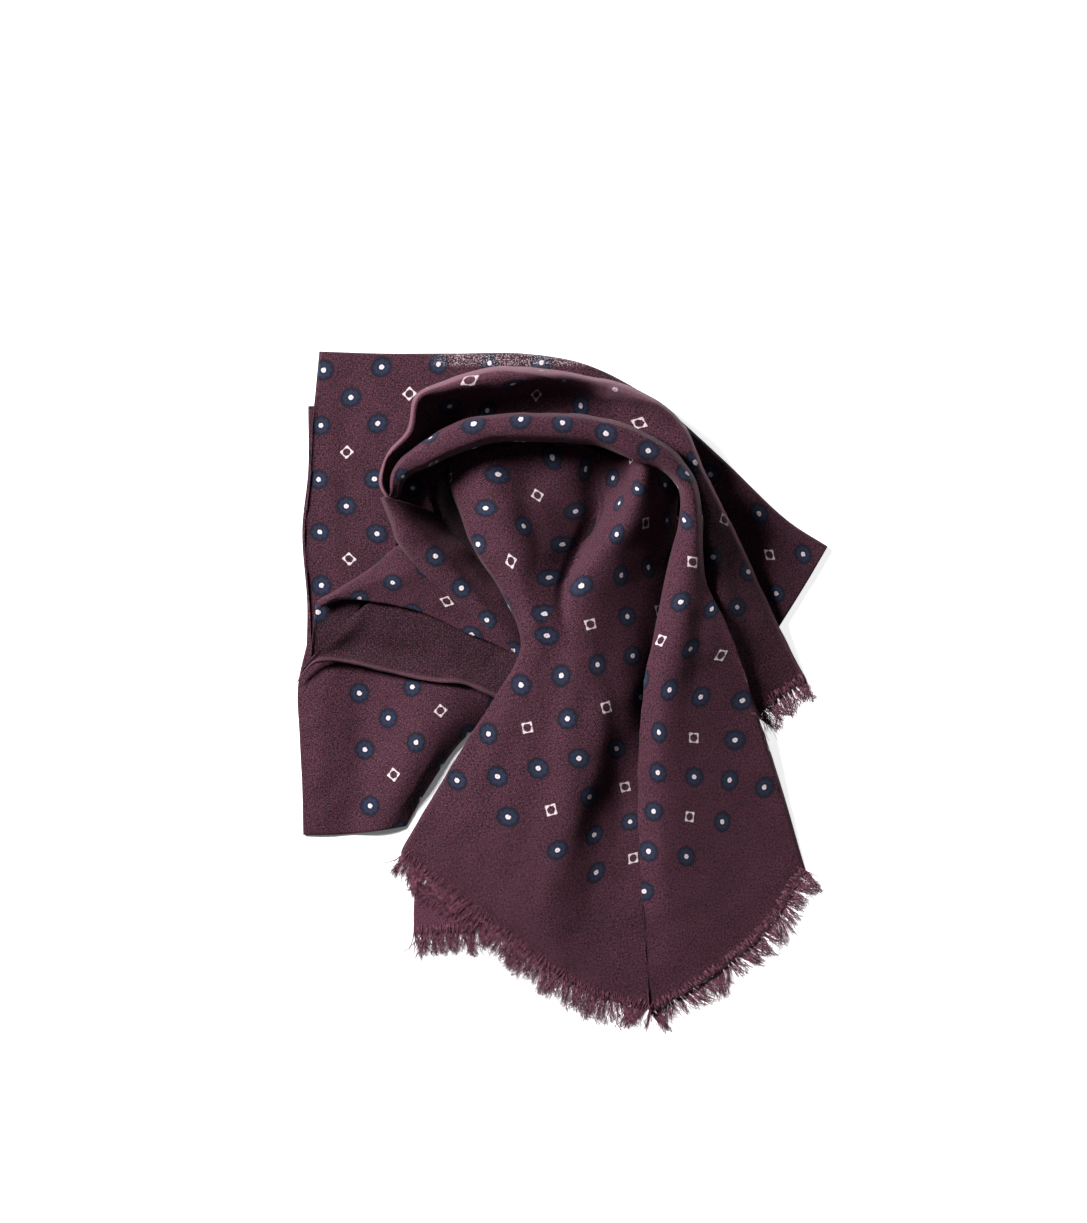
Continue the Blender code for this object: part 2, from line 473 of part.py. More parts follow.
def fringe(name, hem, pile, seed):
    """A narrow strip outside a hem, with yarns that stand apart but for their roots in it."""
    length = even_line(hem, 2)[1]
    line = even_line(hem, 2 * int(length / FRINGE_PITCH) + 2)[0]
    run = np.gradient(line[:, :2], axis=0)
    out = np.stack([run[:, 1], -run[:, 0]], axis=1) / np.linalg.norm(run, axis=1, keepdims=True)
    chance = np.random.default_rng(seed)
    points, faces = [], []

    def put(x, y, z):
        points.append((x, y, z))
        return len(points) - 1

    def clear_height(x, y):
        """Height that a yarn's underside keeps over the floor and over what lies there."""
        near = circle(0.9, 8) + [(0, 0)]
        top = max(pile.top(x + dx, y + dy) for dx, dy in near)
        return max(FRINGE_CLEAR, top + SEAM if top else 0.0)

    far = SEAM + STRIP_WIDTH
    strip = []
    for (x, y, z), way in zip(line, out):
        base = max(z - WALL, 0.0)
        inner = (x + SEAM * way[0], y + SEAM * way[1])
        outer = (x + far * way[0], y + far * way[1])
        high = base + FRINGE_YARN
        strip.append((put(*inner, high), put(*outer, high), put(*outer, base + 0.02)))
    for k, (a, b) in enumerate(zip(strip, strip[1:])):
        faces += [(a[0], a[1], b[1], b[0]), (a[2], a[0], b[0], b[2])]
        root = (a[1], a[2], b[2], b[1])
        if k % 2:
            faces.append(root)
            continue
        start = (line[k, :2] + line[k + 1, :2]) / 2
        way = (out[k] + out[k + 1]) / np.linalg.norm(out[k] + out[k + 1])
        side = np.array([-way[1], way[0]])
        lean = side * chance.uniform(-FRINGE_LEAN, FRINGE_LEAN)
        reach = FRINGE_LENGTH * chance.uniform(FRINGE_SHORTEST, 1) - STRIP_WIDTH
        bend = start + way * (far + reach / 2) + lean * reach / 3
        tip = start + way * (far + reach) + lean * reach
        half = side * FRINGE_YARN * 0.4
        if np.dot(np.array(points[a[1]][:2]) - start, side) < 0:
            half = -half
        low = clear_height(*bend)
        high = low + FRINGE_YARN * 0.8
        ring = (put(*(bend + half), high), put(*(bend + half), low), put(*(bend - half), low),
                put(*(bend - half), high))
        end = put(*tip, clear_height(*tip) + FRINGE_YARN * 0.3)
        for m, n in ((0, 1), (1, 2), (2, 3), (3, 0)):
            faces += [(root[m], root[n], ring[n], ring[m]), (ring[m], ring[n], end)]
    faces += [tuple(strip[0][::-1]), tuple(strip[-1])]
    points = np.array(points)
    pile.add(points, faces)
    add_solid(name, points, faces, WINE_LIGHT)


def settled(plan, pile):
    """Heights of the core's upper points: as high as fits, with every flat facet clear of the cloth."""

    def ceiling(x, y, around):
        return min(pile.bottom(x + dx, y + dy) for dx, dy in around) - CORE_CLEAR

    wide = [(0, 0)] + [offset for radius in CORE_AROUND for offset in circle(radius, 8)]
    close = [(0, 0)] + circle(CORE_CLOSE, 8)
    heights = np.array([[ceiling(*place, wide) for place in ring] for ring in plan])
    heights = np.where(heights > HIGHEST / 2, CORE_LEAST, np.maximum(heights, CORE_LEAST))
    shares = [(a, b) for a in np.linspace(0, 1, 5) for b in np.linspace(0, 1, 5)]
    weights = np.array([((1 - a) * (1 - b), a * (1 - b), a * b, (1 - a) * b) for a, b in shares])
    facets = []
    for k, m in np.ndindex(CORE_RINGS - 1, CORE_SPOKES):
        n = (m + 1) % CORE_SPOKES
        corners = ((k, m), (k, n), (k + 1, n), (k + 1, m))
        spots = weights @ np.array([plan[corner] for corner in corners])
        facets.append((corners, np.array([ceiling(*spot, close) for spot in spots])))
    for _ in range(CORE_PASSES):
        for corners, limits in facets:
            excess = float((weights @ np.array([heights[corner] for corner in corners]) - limits).max())
            if excess > 0:
                for corner in corners:
                    heights[corner] = max(heights[corner] - excess, CORE_LEAST)
    return heights


def core(name, pile):
    """The rounded solid of the hidden layers: a mound under the stretches, with layered edges."""
    centre = np.array(CORE_CENTRE)
    rim = spline(CORE_OUTLINE + CORE_OUTLINE[:1], CORE_SPOKES + 1)[:-1]
    plan = np.array([centre + (rim - centre) * (1 - k / CORE_RINGS) for k in range(CORE_RINGS)])
    heights = settled(plan, pile)
    heights[0] = CORE_LEAST
    ways = (rim - centre) / np.linalg.norm(rim - centre, axis=1, keepdims=True)
    rings = [np.column_stack([rim + ways * out, np.full(CORE_SPOKES, z)]) for out, z in CORE_RIM]
    rings += [np.column_stack([places, levels]) for places, levels in zip(plan, heights)]
    top = (*centre, heights[-1].min())
    points = np.concatenate(rings + [[top, (*centre, 0.0)]])
    index = np.arange(len(rings) * CORE_SPOKES).reshape(len(rings), CORE_SPOKES)
    turned = np.roll(index, -1, axis=1)
    faces = []
    for k, m in np.ndindex(len(rings) - 1, CORE_SPOKES):
        faces.append((index[k, m], turned[k, m], turned[k + 1, m], index[k + 1, m]))
    for m in range(CORE_SPOKES):
        faces.append((index[-1, m], turned[-1, m], len(points) - 2))
        faces.append((turned[0, m], index[0, m], len(points) - 1))
    add_solid(name, points, faces, WINE_DARK)


def build():
    for old in list(bpy.data.objects):
        bpy.data.objects.remove(old)
    pile = Pile()
    stretch("under_layer", [UNDER_LAYER], pile, cell=12)
    corner = stretch("under_corner", [UNDER_CORNER], pile, colour=WINE_LIGHT, cell=10)
    stretch("lower_left_panel", [LOWER_LEFT], pile, last=Turn(2.2, 0.0))
    stretch("back_panel", [BACK_LEFT, BACK_TOP], pile, first=Turn(1.8, BACK_FOOT), cell=9)
    stretch("fold_1_turn", [FOLD_1_TURN], pile, colour=WINE_DARK, first=Turn(1.8, 3.8), cell=6)
    stretch("wedge", [WEDGE], pile, colour=WINE_LIGHT, first=Turn(2.2, WEDGE_FOOT))
    stretch("fold_1", [FOLD_1], pile, first=Turn(1.8, FOLD_1_UPPER_FOOT), last=Turn(1.8, FOLD_1_LOWER_FOOT))
    wrap = stretch("wrap", [WRAP], pile, colour=WINE_DARK, first=Turn(WRAP_REACH, WRAP_FOOT), cell=8)
    stretch("band", [BAND], pile, first=Turn(2.6, BAND_FOOT))
    left = stretch("front_left", [FRONT_LEFT], pile, first=Turn(2.2, FRONT_LEFT_FOOT), cell=8.5)
    right = stretch(
        "front_right", [FRONT_RIGHT], pile, cell=8.5,
        first=Turn(ROLL_OUTER_REACH, ROLL_OUTER_FOOT), last=Turn(ROLL_INNER_REACH, ROLL_INNER_FOOT),
    )
    fringe("under_corner_fringe", corner[-1], pile, seed=3)
    fringe("right_end_fringe", wrap[-1][::-1], pile, seed=4)
    fringe("front_left_fringe", left[-1], pile, seed=5)
    fringe("front_right_fringe", right[-1][::-1], pile, seed=6)
    core("core", pile)


build()
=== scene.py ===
# %% [markdown]
# # A printed wool scarf, laid flat
#
# The real thing is one rectangle of fine burgundy wool with a small print of navy rosettes and white squares,
# doubled, looped over itself and laid on a table. The packed part gives the folded shape as stiff walls. This
# lesson lays thin cloth over those walls, prints and weaves it, and combs out its fringes.

# %% Load the packed part
import math

import bpy
import numpy as np
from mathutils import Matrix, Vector
from mathutils.bvhtree import BVHTree


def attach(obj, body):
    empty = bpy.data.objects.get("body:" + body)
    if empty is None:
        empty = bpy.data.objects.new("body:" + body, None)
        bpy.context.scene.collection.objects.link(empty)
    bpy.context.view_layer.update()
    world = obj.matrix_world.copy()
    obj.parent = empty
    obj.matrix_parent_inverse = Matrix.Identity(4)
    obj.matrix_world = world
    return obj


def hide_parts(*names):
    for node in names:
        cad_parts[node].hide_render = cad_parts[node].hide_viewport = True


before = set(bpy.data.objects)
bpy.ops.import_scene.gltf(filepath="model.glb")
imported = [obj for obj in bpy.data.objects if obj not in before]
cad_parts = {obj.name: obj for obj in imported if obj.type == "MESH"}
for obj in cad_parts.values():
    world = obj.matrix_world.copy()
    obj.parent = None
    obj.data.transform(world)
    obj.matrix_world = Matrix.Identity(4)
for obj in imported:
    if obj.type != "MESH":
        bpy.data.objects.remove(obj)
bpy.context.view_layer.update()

# %% [markdown]
# ## Sizes
#
# A scene is easier to read when it speaks in the units of its maker, so the tables below are in millimetres
# on the plan of the scarf, x to the right and y away from the fringed front. ORIGIN is the middle of the
# folded scarf on that plan. One shared function turns such points into Blender's metres.

# %% Driving sizes
MM = 0.001
ORIGIN = np.array([-0.7, 1.85, 0.0])
WALL = 1.2  # the stiff wall that each stretch of cloth is laid over
SEAM = 0.3  # what two walls keep between them
REST = WALL + 0.02  # height of what lies on the table
CLOTH = 0.45  # thickness of the real wool
AIR = 0.12  # least air between two layers of cloth
COARSE = 7.0  # facet size of the walls
FINE = 1.15  # facet size of the cloth
LAY_AROUND = 2.4  # how far round each of its points a wall looks for what lies below
STEEPEST = 0.45  # least rise of a normal that a layer's thickness is reckoned with
HIGHEST = 200.0  # where the rays that feel for the pile start
PITCH = 20.5  # from one motif of the print to the next


def to_metres(points):
    """Plan points in millimetres, as Blender's metres."""
    return (np.asarray(points, float) - ORIGIN) * MM


print("one motif of the print, in metres:", PITCH * MM)

# %% [markdown]
# ## The stretches of cloth
#
# Where the scarf shows, it shows as eleven stretches, and each is a table of sections. A row is one section
# across the cloth, and its columns are the named lines that run along the cloth. A handful of sections and a
# smooth curve through them keep folded cloth calm, where a free sculpt would turn lumpy.

# %% Tables of sections
# heading: outer edge, inner edge; from the front to the back
UNDER_LAYER = (
    ((-129.0, 18, REST), (-108, 18, REST)),
    ((-128.5, 45, REST), (-108, 45, REST)),
    ((-131.0, 82, REST), (-108, 82, REST)),
    ((-128.0, 113, REST), (-108, 113, REST)),
    ((-128.0, 145, REST), (-108, 145, REST)),
)

# heading: selvedge, middle, side under the fan; from the back to the hem
UNDER_CORNER = (
    ((-74, -94, REST), (-56, -100, REST), (-38, -108, REST)),
    ((-75, -107, REST), (-57, -108, REST), (-40, -113, REST)),
    ((-75, -120, REST), (-59, -119, REST), (-44, -119, REST)),
)

# heading: selvedge, the rise beside it, trough, crown, turned side; from the back to the front
LOWER_LEFT = (
    ((-128.5, 26, 2.4), (-118, 26, 2.2), (-96, 24, 2.6), (-64, 20, 7.4), (-36, 13, 4.4)),
    ((-133.0, 5, 3.0), (-121, 5, 4.6), (-101, 4, 2.6), (-56, -1, 8.6), (-33, -4, 2.2)),
    ((-132.3, -20, 2.8), (-121, -22, 4.2), (-103, -24, 2.4), (-64.5, -26.4, 8.6), (-54, -27, 1.8)),
    ((-131.0, -46, 2.6), (-121, -47, 3.6), (-106, -48, 2.2), (-76.5, -48.8, 7.2), (-69, -49, 1.6)),
    ((-130.5, -70.5, REST), (-121, -70.5, 1.8), (-108, -70, REST), (-90, -68, 3.8), (-78.6, -66, 1.6)),
)

# heading: folded outer edge, middle, inner edge; up the left side
BACK_LEFT = (
    ((-126.0, 20, 3.0), (-106, 20, 3.5), (-86, 24, 4.0)),
    ((-127.5, 47, 3.0), (-106, 48, 4.0), (-84, 50, 4.6)),
    ((-129.8, 81, 3.0), (-106, 82, 4.4), (-83, 82, 5.4)),
    ((-127.0, 107, 3.1), (-105, 109, 4.7), (-82, 108, 6.0)),
    ((-125.2, 141, 3.0), (-102, 135, 4.8), (-78, 126, 6.6)),
    ((-122.5, 172.5, 2.7), (-97, 157, 4.6), (-68, 139, 7.0)),
)
# the same columns, from the square corner along the back to the right corner
BACK_TOP = (
    BACK_LEFT[-1],
    ((-92, 171.5, 2.9), (-76, 156, 4.8), (-56, 139, 7.0)),
    ((-55, 171.5, 3.2), (-48, 157, 5.2), (-38, 140, 7.4)),
    ((-18, 171.3, 3.4), (-16, 158, 5.6), (-12, 140, 7.8)),
    ((12, 165.8, 3.6), (9, 154, 5.8), (6, 138, 7.8)),
    ((46, 147.8, 3.7), (38, 136, 6.0), (28, 121, 7.8)),
    ((78.5, 120, 3.7), (66, 107, 5.8), (54, 91, 7.6)),
    ((111, 89, 3.4), (96, 76, 5.0), (80, 60, 6.6)),
    ((133, 74.5, 3.0), (121, 54, 3.0), (108.5, 34, 2.8)),
)

# heading: turned left edge, middle, side under the wedge; from fold 1 to the front
FOLD_1_TURN = (
    ((-124.0, 45, 8.2), (-113, 48, 8.4), (-98, 50, 8.2)),
    ((-125.0, 36, 7.2), (-115, 38, 7.4), (-104, 40, 7.2)),
    ((-125.8, 27, 6.4), (-119, 29, 6.4), (-111, 31, 6.2)),
    ((-126.5, 18.6, 5.2), (-123, 20.4, 5.4), (-117, 22, 5.6)),
)

# heading: rolled lower edge, dip behind it, middle, side under fold 1; from the left tip to the right
WEDGE = (
    ((-133.4, 6, 6.4), (-132.2, 9, 6.6), (-130.8, 12, 6.8), (-129, 15.5, 7.2)),
    ((-125.0, 15.6, 10.4), (-122.6, 19, 8.2), (-120, 23, 8.6), (-117.5, 27.5, 9.2)),
    ((-108.0, 15.6, 11.6), (-106.5, 21, 8.0), (-103.5, 33, 9.8), (-99.5, 44.5, 11.4)),
    ((-88.5, 11, 12.0), (-87, 17.5, 8.2), (-85, 33, 10.0), (-81, 51, 12.0)),
    ((-65.0, 6.5, 12.4), (-64, 13, 9.0), (-61, 29, 10.4), (-56, 46, 12.4)),
    ((-50.0, 5, 12.6), (-48, 11.5, 9.2), (-44, 24, 10.6), (-38, 38, 12.2)),
    ((-29.0, -4, 11.6), (-25, 3, 9.6), (-20, 15, 10.8), (-14, 26, 12)),
)

# heading: upper edge, crown, lower edge; from the left tip to the right
FOLD_1 = (
    ((-123.2, 47.2, 12.4), (-122.2, 45.2, 12.8), (-121.6, 43, 12.2)),
    ((-114.5, 51.8, 14.0), (-114, 49.6, 14.8), (-113.8, 47, 14.0)),
    ((-105.0, 57.8, 14.8), (-104.6, 53, 16.0), (-104.5, 47.6, 14.8)),
    ((-93.5, 66, 14.6), (-93, 57, 17.0), (-92.5, 46, 15.2)),
    ((-80.0, 76, 12.6), (-77, 62, 17.2), (-73.5, 41.6, 15.4)),
    ((-62.0, 72, 8.0), (-58, 56, 13.6), (-52, 32.8, 15.2)),
    ((-40.0, 56, 6.0), (-36, 43, 11.0), (-30, 23.5, 14.0)),
    ((-27.0, 42, 6.0), (-21, 30, 9.6), (-13, 13.5, 12.0)),
)

# heading: free outer edge, rim, inner face, trough, side under the roll; from the loop's left end, round the
# back, to the fringed right end
WRAP = (
    ((-87.5, 97, 30), (-85.6, 97, 30), (-82, 96.6, 24), (-75, 95, 17), (-64, 91, 13)),
    ((-92.0, 106, 36), (-89.6, 106, 36), (-86, 105.4, 27), (-79, 104, 18), (-67, 101, 14)),
    ((-89.0, 119, 39), (-86.4, 118, 39), (-83, 116, 28), (-77, 113, 18), (-66, 107, 15)),
    ((-78.0, 133, 41), (-74.6, 130.5, 41), (-71, 127.5, 29), (-65, 121.5, 19), (-57, 114, 16)),
    ((-73.8, 150, 42), (-70.6, 147.6, 42), (-66.5, 142.5, 30), (-60, 133, 20), (-50, 122, 17)),
    ((-58.5, 157.6, 43), (-56, 151.6, 43), (-54, 147, 30), (-49.5, 138.5, 20), (-42, 128, 17)),
    ((-34.0, 164.2, 43), (-32.4, 154.2, 43), (-31, 150, 29), (-27.5, 142, 20), (-23, 130, 17)),
    ((5.0, 161.2, 42), (5.3, 158, 42), (5.6, 153.6, 29), (6, 143.5, 20), (6, 131, 17)),
    ((38.5, 152.5, 34), (37.2, 149.6, 34), (35, 145.4, 25), (30, 136.5, 19.5), (24, 124, 16)),
    ((60.5, 135.5, 25), (59, 133.4, 25.4), (55, 128.5, 23), (48, 120, 20), (38, 110, 15)),
    ((72.5, 108, 22), (70.8, 107, 22.6), (66.5, 104, 25), (64, 102.6, 21), (61, 100.6, 15)),
    ((86.5, 79.5, 16.6), (84.8, 79, 17.4), (78, 76.8, 22.4), (71, 74, 25), (64, 71.6, 15)),
    ((100.5, 50.5, 11), (99, 50, 11.6), (90, 47.6, 16.4), (79, 45.4, 22), (66, 42, 14)),
    ((113.0, 25, 5.2), (111.6, 24, 5.6), (101, 20.6, 8.4), (87, 16, 12.4), (68, 10, 12)),
    ((122.5, 7.5, REST), (120.6, 6.2, 1.3), (114.5, 2.2, 1.4), (106.5, -3, 1.8), (97.5, -12, 1.6)),
)

# heading: left edge, crest, middle, side under the centre; from the loop's left end to under the fan
BAND = (
    ((-91.5, 98.5, 28), (-88, 98.5, 32), (-79, 96.5, 27), (-68, 93, 12)),
    ((-86.8, 87, 24), (-82.5, 89, 28.5), (-73, 89, 24), (-60, 88, 6)),
    ((-82.3, 75.5, 22), (-77, 79, 26), (-66.5, 81, 21), (-54, 82, 4)),
    ((-73.8, 65, 20.4), (-68, 69, 24), (-57, 73, 18.6), (-46, 75, 3.4)),
    ((-61.2, 53.2, 19.6), (-56, 57.5, 22.4), (-47.5, 61, 17), (-37, 64, 3.4)),
    ((-45.3, 40.5, 18.8), (-41, 45, 21), (-34, 48.8, 15.6), (-25, 52, 4)),
    ((-32.2, 28.6, 18.2), (-28.5, 32.5, 19.6), (-23, 36.7, 15), (-15, 41, 5.4)),
    ((-20.4, 17.6, 15.2), (-17.4, 21, 16.2), (-12, 25.5, 13), (-4, 29, 7)),
    ((-8.4, 5.8, 14.8), (-6, 8.5, 15.4), (-1, 12, 13.4), (6, 15, 10)),
)

# heading: left edge, left crown, slope, foot of the slope, valley, the valley's far side, the second ridge's
# crest, its shoulder, side under the third ridge; from under the roll to the fringed hem
FRONT_LEFT = (
    ((-57, 121, 25), (-38, 125, 29.6), (-14, 126, 26), (7, 124, 22.6), (17.5, 122, 17),
     (30.5, 121, 20), (39, 120.5, 38.6), (47, 117, 34), (57, 112, 14)),
    ((-57, 107, 25), (-39, 109, 32), (-17, 109, 26), (6, 107, 22.6), (18.5, 105, 15),
     (28.5, 104, 19), (36.5, 104, 35.6), (46, 102, 31), (57.5, 99, 12)),
    ((-52.4, 92, 25), (-33, 92, 33.4), (-12, 92, 26.6), (8, 92, 19.6), (19.6, 92, 14.6),
     (24.5, 91, 22), (31.5, 90, 33.4), (44, 88, 28.4), (57, 86, 11)),
    ((-43.6, 71, 24), (-26, 72, 32.6), (-11, 72, 27.4), (1, 72, 20.6), (9.5, 72, 16.4),
     (14.5, 72, 27), (22.5, 72, 31.6), (42, 72, 21.8), (54, 72, 10.6)),
    ((-29.6, 49, 23), (-20, 49.5, 29), (-12, 49.5, 28), (-5, 49.5, 26), (0, 49.5, 23.6),
     (4, 49.5, 28), (12, 49.5, 29.8), (38, 50, 19.4), (51.5, 51, 10)),
    ((-20.4, 23.5, 20.6), (-12.5, 24, 25.2), (-6, 24, 26), (-1, 24, 26.2), (4, 24, 26.6),
     (9, 24, 26.8), (16, 24, 26.2), (36, 24, 18.2), (47, 24, 10)),
    ((-34, -1.3, 14), (-17, -0.5, 19.6), (-5, 0, 22), (3, 0, 23), (10, 0, 23.8),
     (17, 0, 24.2), (23, 0, 23.4), (34, 0, 17.8), (43, 0, 9.4)),
    ((-53.2, -31, 8.4), (-33, -32, 13), (-17, -32, 16.2), (-6, -32, 18), (3, -32, 19.4),
     (10, -32, 20), (17, -32, 19.2), (29, -31, 12.6), (42, -30, 7.6)),
    ((-73, -64, 4.6), (-52, -67, 8), (-33, -70, 11), (-19, -71, 13), (-9, -70, 14.4),
     (-1, -69, 15), (6, -67, 14.4), (20, -61, 8.4), (42, -56, 5.6)),
    ((-80.6, -77, 3), (-64, -84, 4.6), (-47, -91.5, 6.2), (-32, -98, 7.6), (-20, -103.5, 9),
     (-10, -107.5, 10), (-3, -110, 9.4), (16, -113, 5.2), (42, -114, 4)),
    ((-81.5, -81, 3.1), (-66, -93, 3.1), (-50, -105.4, 2.9), (-37, -116, 2.9), (-26, -124.5, 2.4),
     (-16, -132, 1.8), (-7, -138.5, 1.8), (16, -151.5, 1.8), (45, -158, REST)),
)

# heading: outer side, outer crown, inner crown, inner side; the roll from its left tip, round the back, then
# the third ridge and the fan's right half to the fringed hem
FRONT_RIGHT = (
    ((-86.2, 98.4, 31), (-84.4, 98.4, 32), (-83, 98.4, 32), (-81.6, 98.4, 31)),
    ((-84.6, 112, 40), (-82.4, 111, 41.8), (-79.6, 109.6, 41.8), (-77.2, 108.5, 40)),
    ((-73, 124, 43.4), (-70.6, 120.6, 45.2), (-68, 117, 45.2), (-65.6, 114, 43.4)),
    ((-50.5, 137, 46.4), (-49.6, 132, 48), (-48.4, 126.5, 48), (-47.2, 122, 46)),
    ((-32, 140, 47.2), (-31.6, 135.4, 49), (-31, 130, 49), (-30.5, 126, 46.6)),
    ((-5, 140.6, 47.4), (-5, 136, 49.2), (-5, 130, 49), (-5, 125.4, 46.4)),
    ((18, 138.6, 47), (17.8, 134, 48.8), (17.2, 128.6, 48.2), (16.6, 124, 45)),
    ((38.6, 132.2, 45.4), (36.6, 127.6, 48), (34.2, 122, 47.6), (32.2, 117.6, 45)),
    ((56, 121.6, 42.6), (53, 118.2, 46.2), (50, 115, 45.4), (47.4, 112.4, 40.6)),
    ((66.2, 106, 39.8), (63.2, 104.4, 43.4), (60.4, 103, 42.6), (57.8, 101.6, 38.6)),
    ((69.4, 88, 36), (66, 87.6, 39.8), (61.4, 86.4, 38.6), (57, 85, 33.4)),
    ((69.8, 70, 32.6), (65.6, 70, 36.2), (59.6, 70, 34.8), (53.6, 70, 29)),
    ((72.8, 54, 27.6), (65.6, 54, 31.6), (57.6, 54, 31.8), (50, 55, 25.6)),
    ((81, 37, 21.6), (70.4, 36, 26), (57.4, 36, 29.8), (46.6, 36, 23.4)),
    ((92.2, 8.5, 12), (73, 8, 17.8), (50.4, 8, 25), (41, 10, 18.8)),
    ((102.2, -22, 9), (75, -22, 13.8), (48.4, -22, 20.8), (38.2, -22, 14.4)),
    ((111.6, -52, 4.8), (79, -52, 9.8), (48.4, -53, 15.4), (37.6, -54, 10.4)),
    ((119, -78, 2.6), (81, -87, 5.4), (52, -94, 10.4), (39.4, -97, 6.6)),
    ((122, -88, REST), (101, -119.5, 1.6), (74, -142, 2.0), (43.6, -160, 2.9)),
)

# How far the edges turn down, as pairs: a share of the way along the stretch, and the height of the edge's
# foot or the reach of its turn there.
BACK_FOOT = ((0, 1.55), (0.27, 1.55), (0.33, 0.4), (1, 0.3))
WEDGE_FOOT = ((0, 3.5), (0.08, 7.4), (0.2, 7.2), (0.6, 7.0), (1, 7.5))
FOLD_1_UPPER_FOOT = ((0, 10), (0.25, 8), (0.5, 9), (0.8, 12), (1, 13))
FOLD_1_LOWER_FOOT = ((0, 10), (0.5, 11.5), (1, 12))
WRAP_REACH = (
    (0, 1.9), (0.07, 2.4), (0.14, 2.6), (0.21, 4), (0.29, 4), (0.36, 6.5), (0.43, 10), (0.5, 3.2),
    (0.57, 2.9), (0.64, 2.2), (0.71, 1.9), (1, 1.6),
)
WRAP_FOOT = (
    (0, 24), (0.07, 12), (0.14, 9), (0.5, 8), (0.6, 10), (0.67, 12), (0.73, 11), (0.82, 8), (0.9, 4.5),
    (0.96, 2), (1, 0.1),
)
BAND_FOOT = ((0, 16), (0.15, 10), (0.3, 17), (0.5, 17), (0.75, 15.5), (1, 13))
FRONT_LEFT_FOOT = (
    (0, 17), (0.1, 16), (0.25, 13.5), (0.4, 12.4), (0.5, 12), (0.6, 8), (0.7, 2), (0.85, 0.4), (1, 0.2),
)
ROLL_OUTER_REACH = (
    (0, 1.6), (0.08, 2.8), (0.15, 3.2), (0.4, 3.4), (0.48, 3.4), (0.6, 3.2), (0.8, 2.4), (1, 1.8),
)
ROLL_OUTER_FOOT = (
    (0, 28), (0.1, 28), (0.3, 26), (0.4, 25), (0.48, 22), (0.56, 18), (0.62, 13), (0.7, 5), (0.78, 0.3),
    (1, 0.1),
)
ROLL_INNER_REACH = (
    (0, 1.6), (0.08, 2.8), (0.15, 3.2), (0.28, 3.2), (0.34, 2), (0.4, 2.6), (0.7, 2.4), (1, 1.8),
)
ROLL_INNER_FOOT = (
    (0, 30), (0.1, 32), (0.25, 37), (0.30, 38), (0.34, 44), (0.37, 42), (0.41, 27), (0.5, 20), (0.6, 16),
    (0.7, 12), (0.8, 9.5), (0.92, 6), (1, 2),
)

print("sections of the front's left half:", len(FRONT_LEFT))

# %% [markdown]
# ## Smooth lines through a few points
#
# Between two rows of a table the cloth follows a Hermite curve, which passes through every given point and
# takes its slope from the neighbours. NURBS would do as well, but they miss the points they are drawn from.

# %% Curves
def hermite(t, span, start, end, start_slope, end_slope):
    """The point a share `t` of the way along a cubic piece."""
    ends = (2 * t**3 - 3 * t**2 + 1) * start + (3 * t**2 - 2 * t**3) * end
    return ends + span * ((t**3 - 2 * t**2 + t) * start_slope + (t**3 - t**2) * end_slope)


def spline(points, count):
    """`count` points of a smooth curve through `points`, evenly spread along its rows' own spacing."""
    rows = np.asarray(points, float)
    gaps = np.linalg.norm(np.diff(rows[..., :2], axis=0), axis=-1).reshape(len(rows) - 1, -1).mean(axis=1)
    knots = np.concatenate([[0.0], np.cumsum(np.sqrt(gaps + 1e-6))])
    lengths = np.concatenate([[0.0], np.cumsum(gaps)])
    places = np.interp(np.linspace(0, lengths[-1], count), lengths, knots)
    slopes = np.gradient(rows, knots, axis=0)
    found = []
    for place in places:
        i = min(int(np.searchsorted(knots, place, side="right")) - 1, len(rows) - 2)
        span = knots[i + 1] - knots[i]
        found.append(hermite((place - knots[i]) / span, span, rows[i], rows[i + 1], slopes[i], slopes[i + 1]))
    return np.array(found)


def cubic(knots, points, places):
    """The points at `places` on the smooth line across a section."""
    rises = np.diff(points, axis=0) / np.diff(knots)[:, None]
    slopes = np.concatenate([rises[:1], (rises[:-1] + rises[1:]) / 2, rises[-1:]])
    i = np.clip(np.searchsorted(knots, places, side="right") - 1, 0, len(knots) - 2)
    span = (knots[i + 1] - knots[i])[:, None]
    t = (places[:, None] - knots[i][:, None]) / span
    return hermite(t, span, points[i], points[i + 1], slopes[i], slopes[i + 1])


print("a quarter circle's middle:", spline([(1, 0), (0.707, 0.707), (0, 1)], 3)[1].round(3))

# %% [markdown]
# ## Turned edges
#
# A folded edge rolls down instead of ending in a sharp line. A Turn says how far inwards the roll reaches and
# how low its foot comes. The walls use four lines round a turn and the cloth uses many, so that the light
# runs softly over a fold.

# %% Edges that turn down
class Turn:
    """How an edge turns down: its reach inwards, and the height of its foot. Each is a number, or pairs of
    a share of the way from the first section to the last and the value there."""

    def __init__(self, reach, foot):
        self.reach = reach
        self.foot = foot

    @staticmethod
    def spread(value, shares):
        """The value at each section."""
        if isinstance(value, (int, float)):
            return np.full(len(shares), float(value))
        ways, values = zip(*value)
        return np.interp(shares, ways, values)


NO_TURN = Turn(0, 0)
WIDEST_TURN = 0.45  # most of a section that one turned edge may take
COARSE_TURN = [1 - math.cos(math.radians(step)) for step in (0, 30, 60, 90)]
FINE_TURN = [1 - math.cos(math.radians(step)) for step in range(0, 91, 10)]


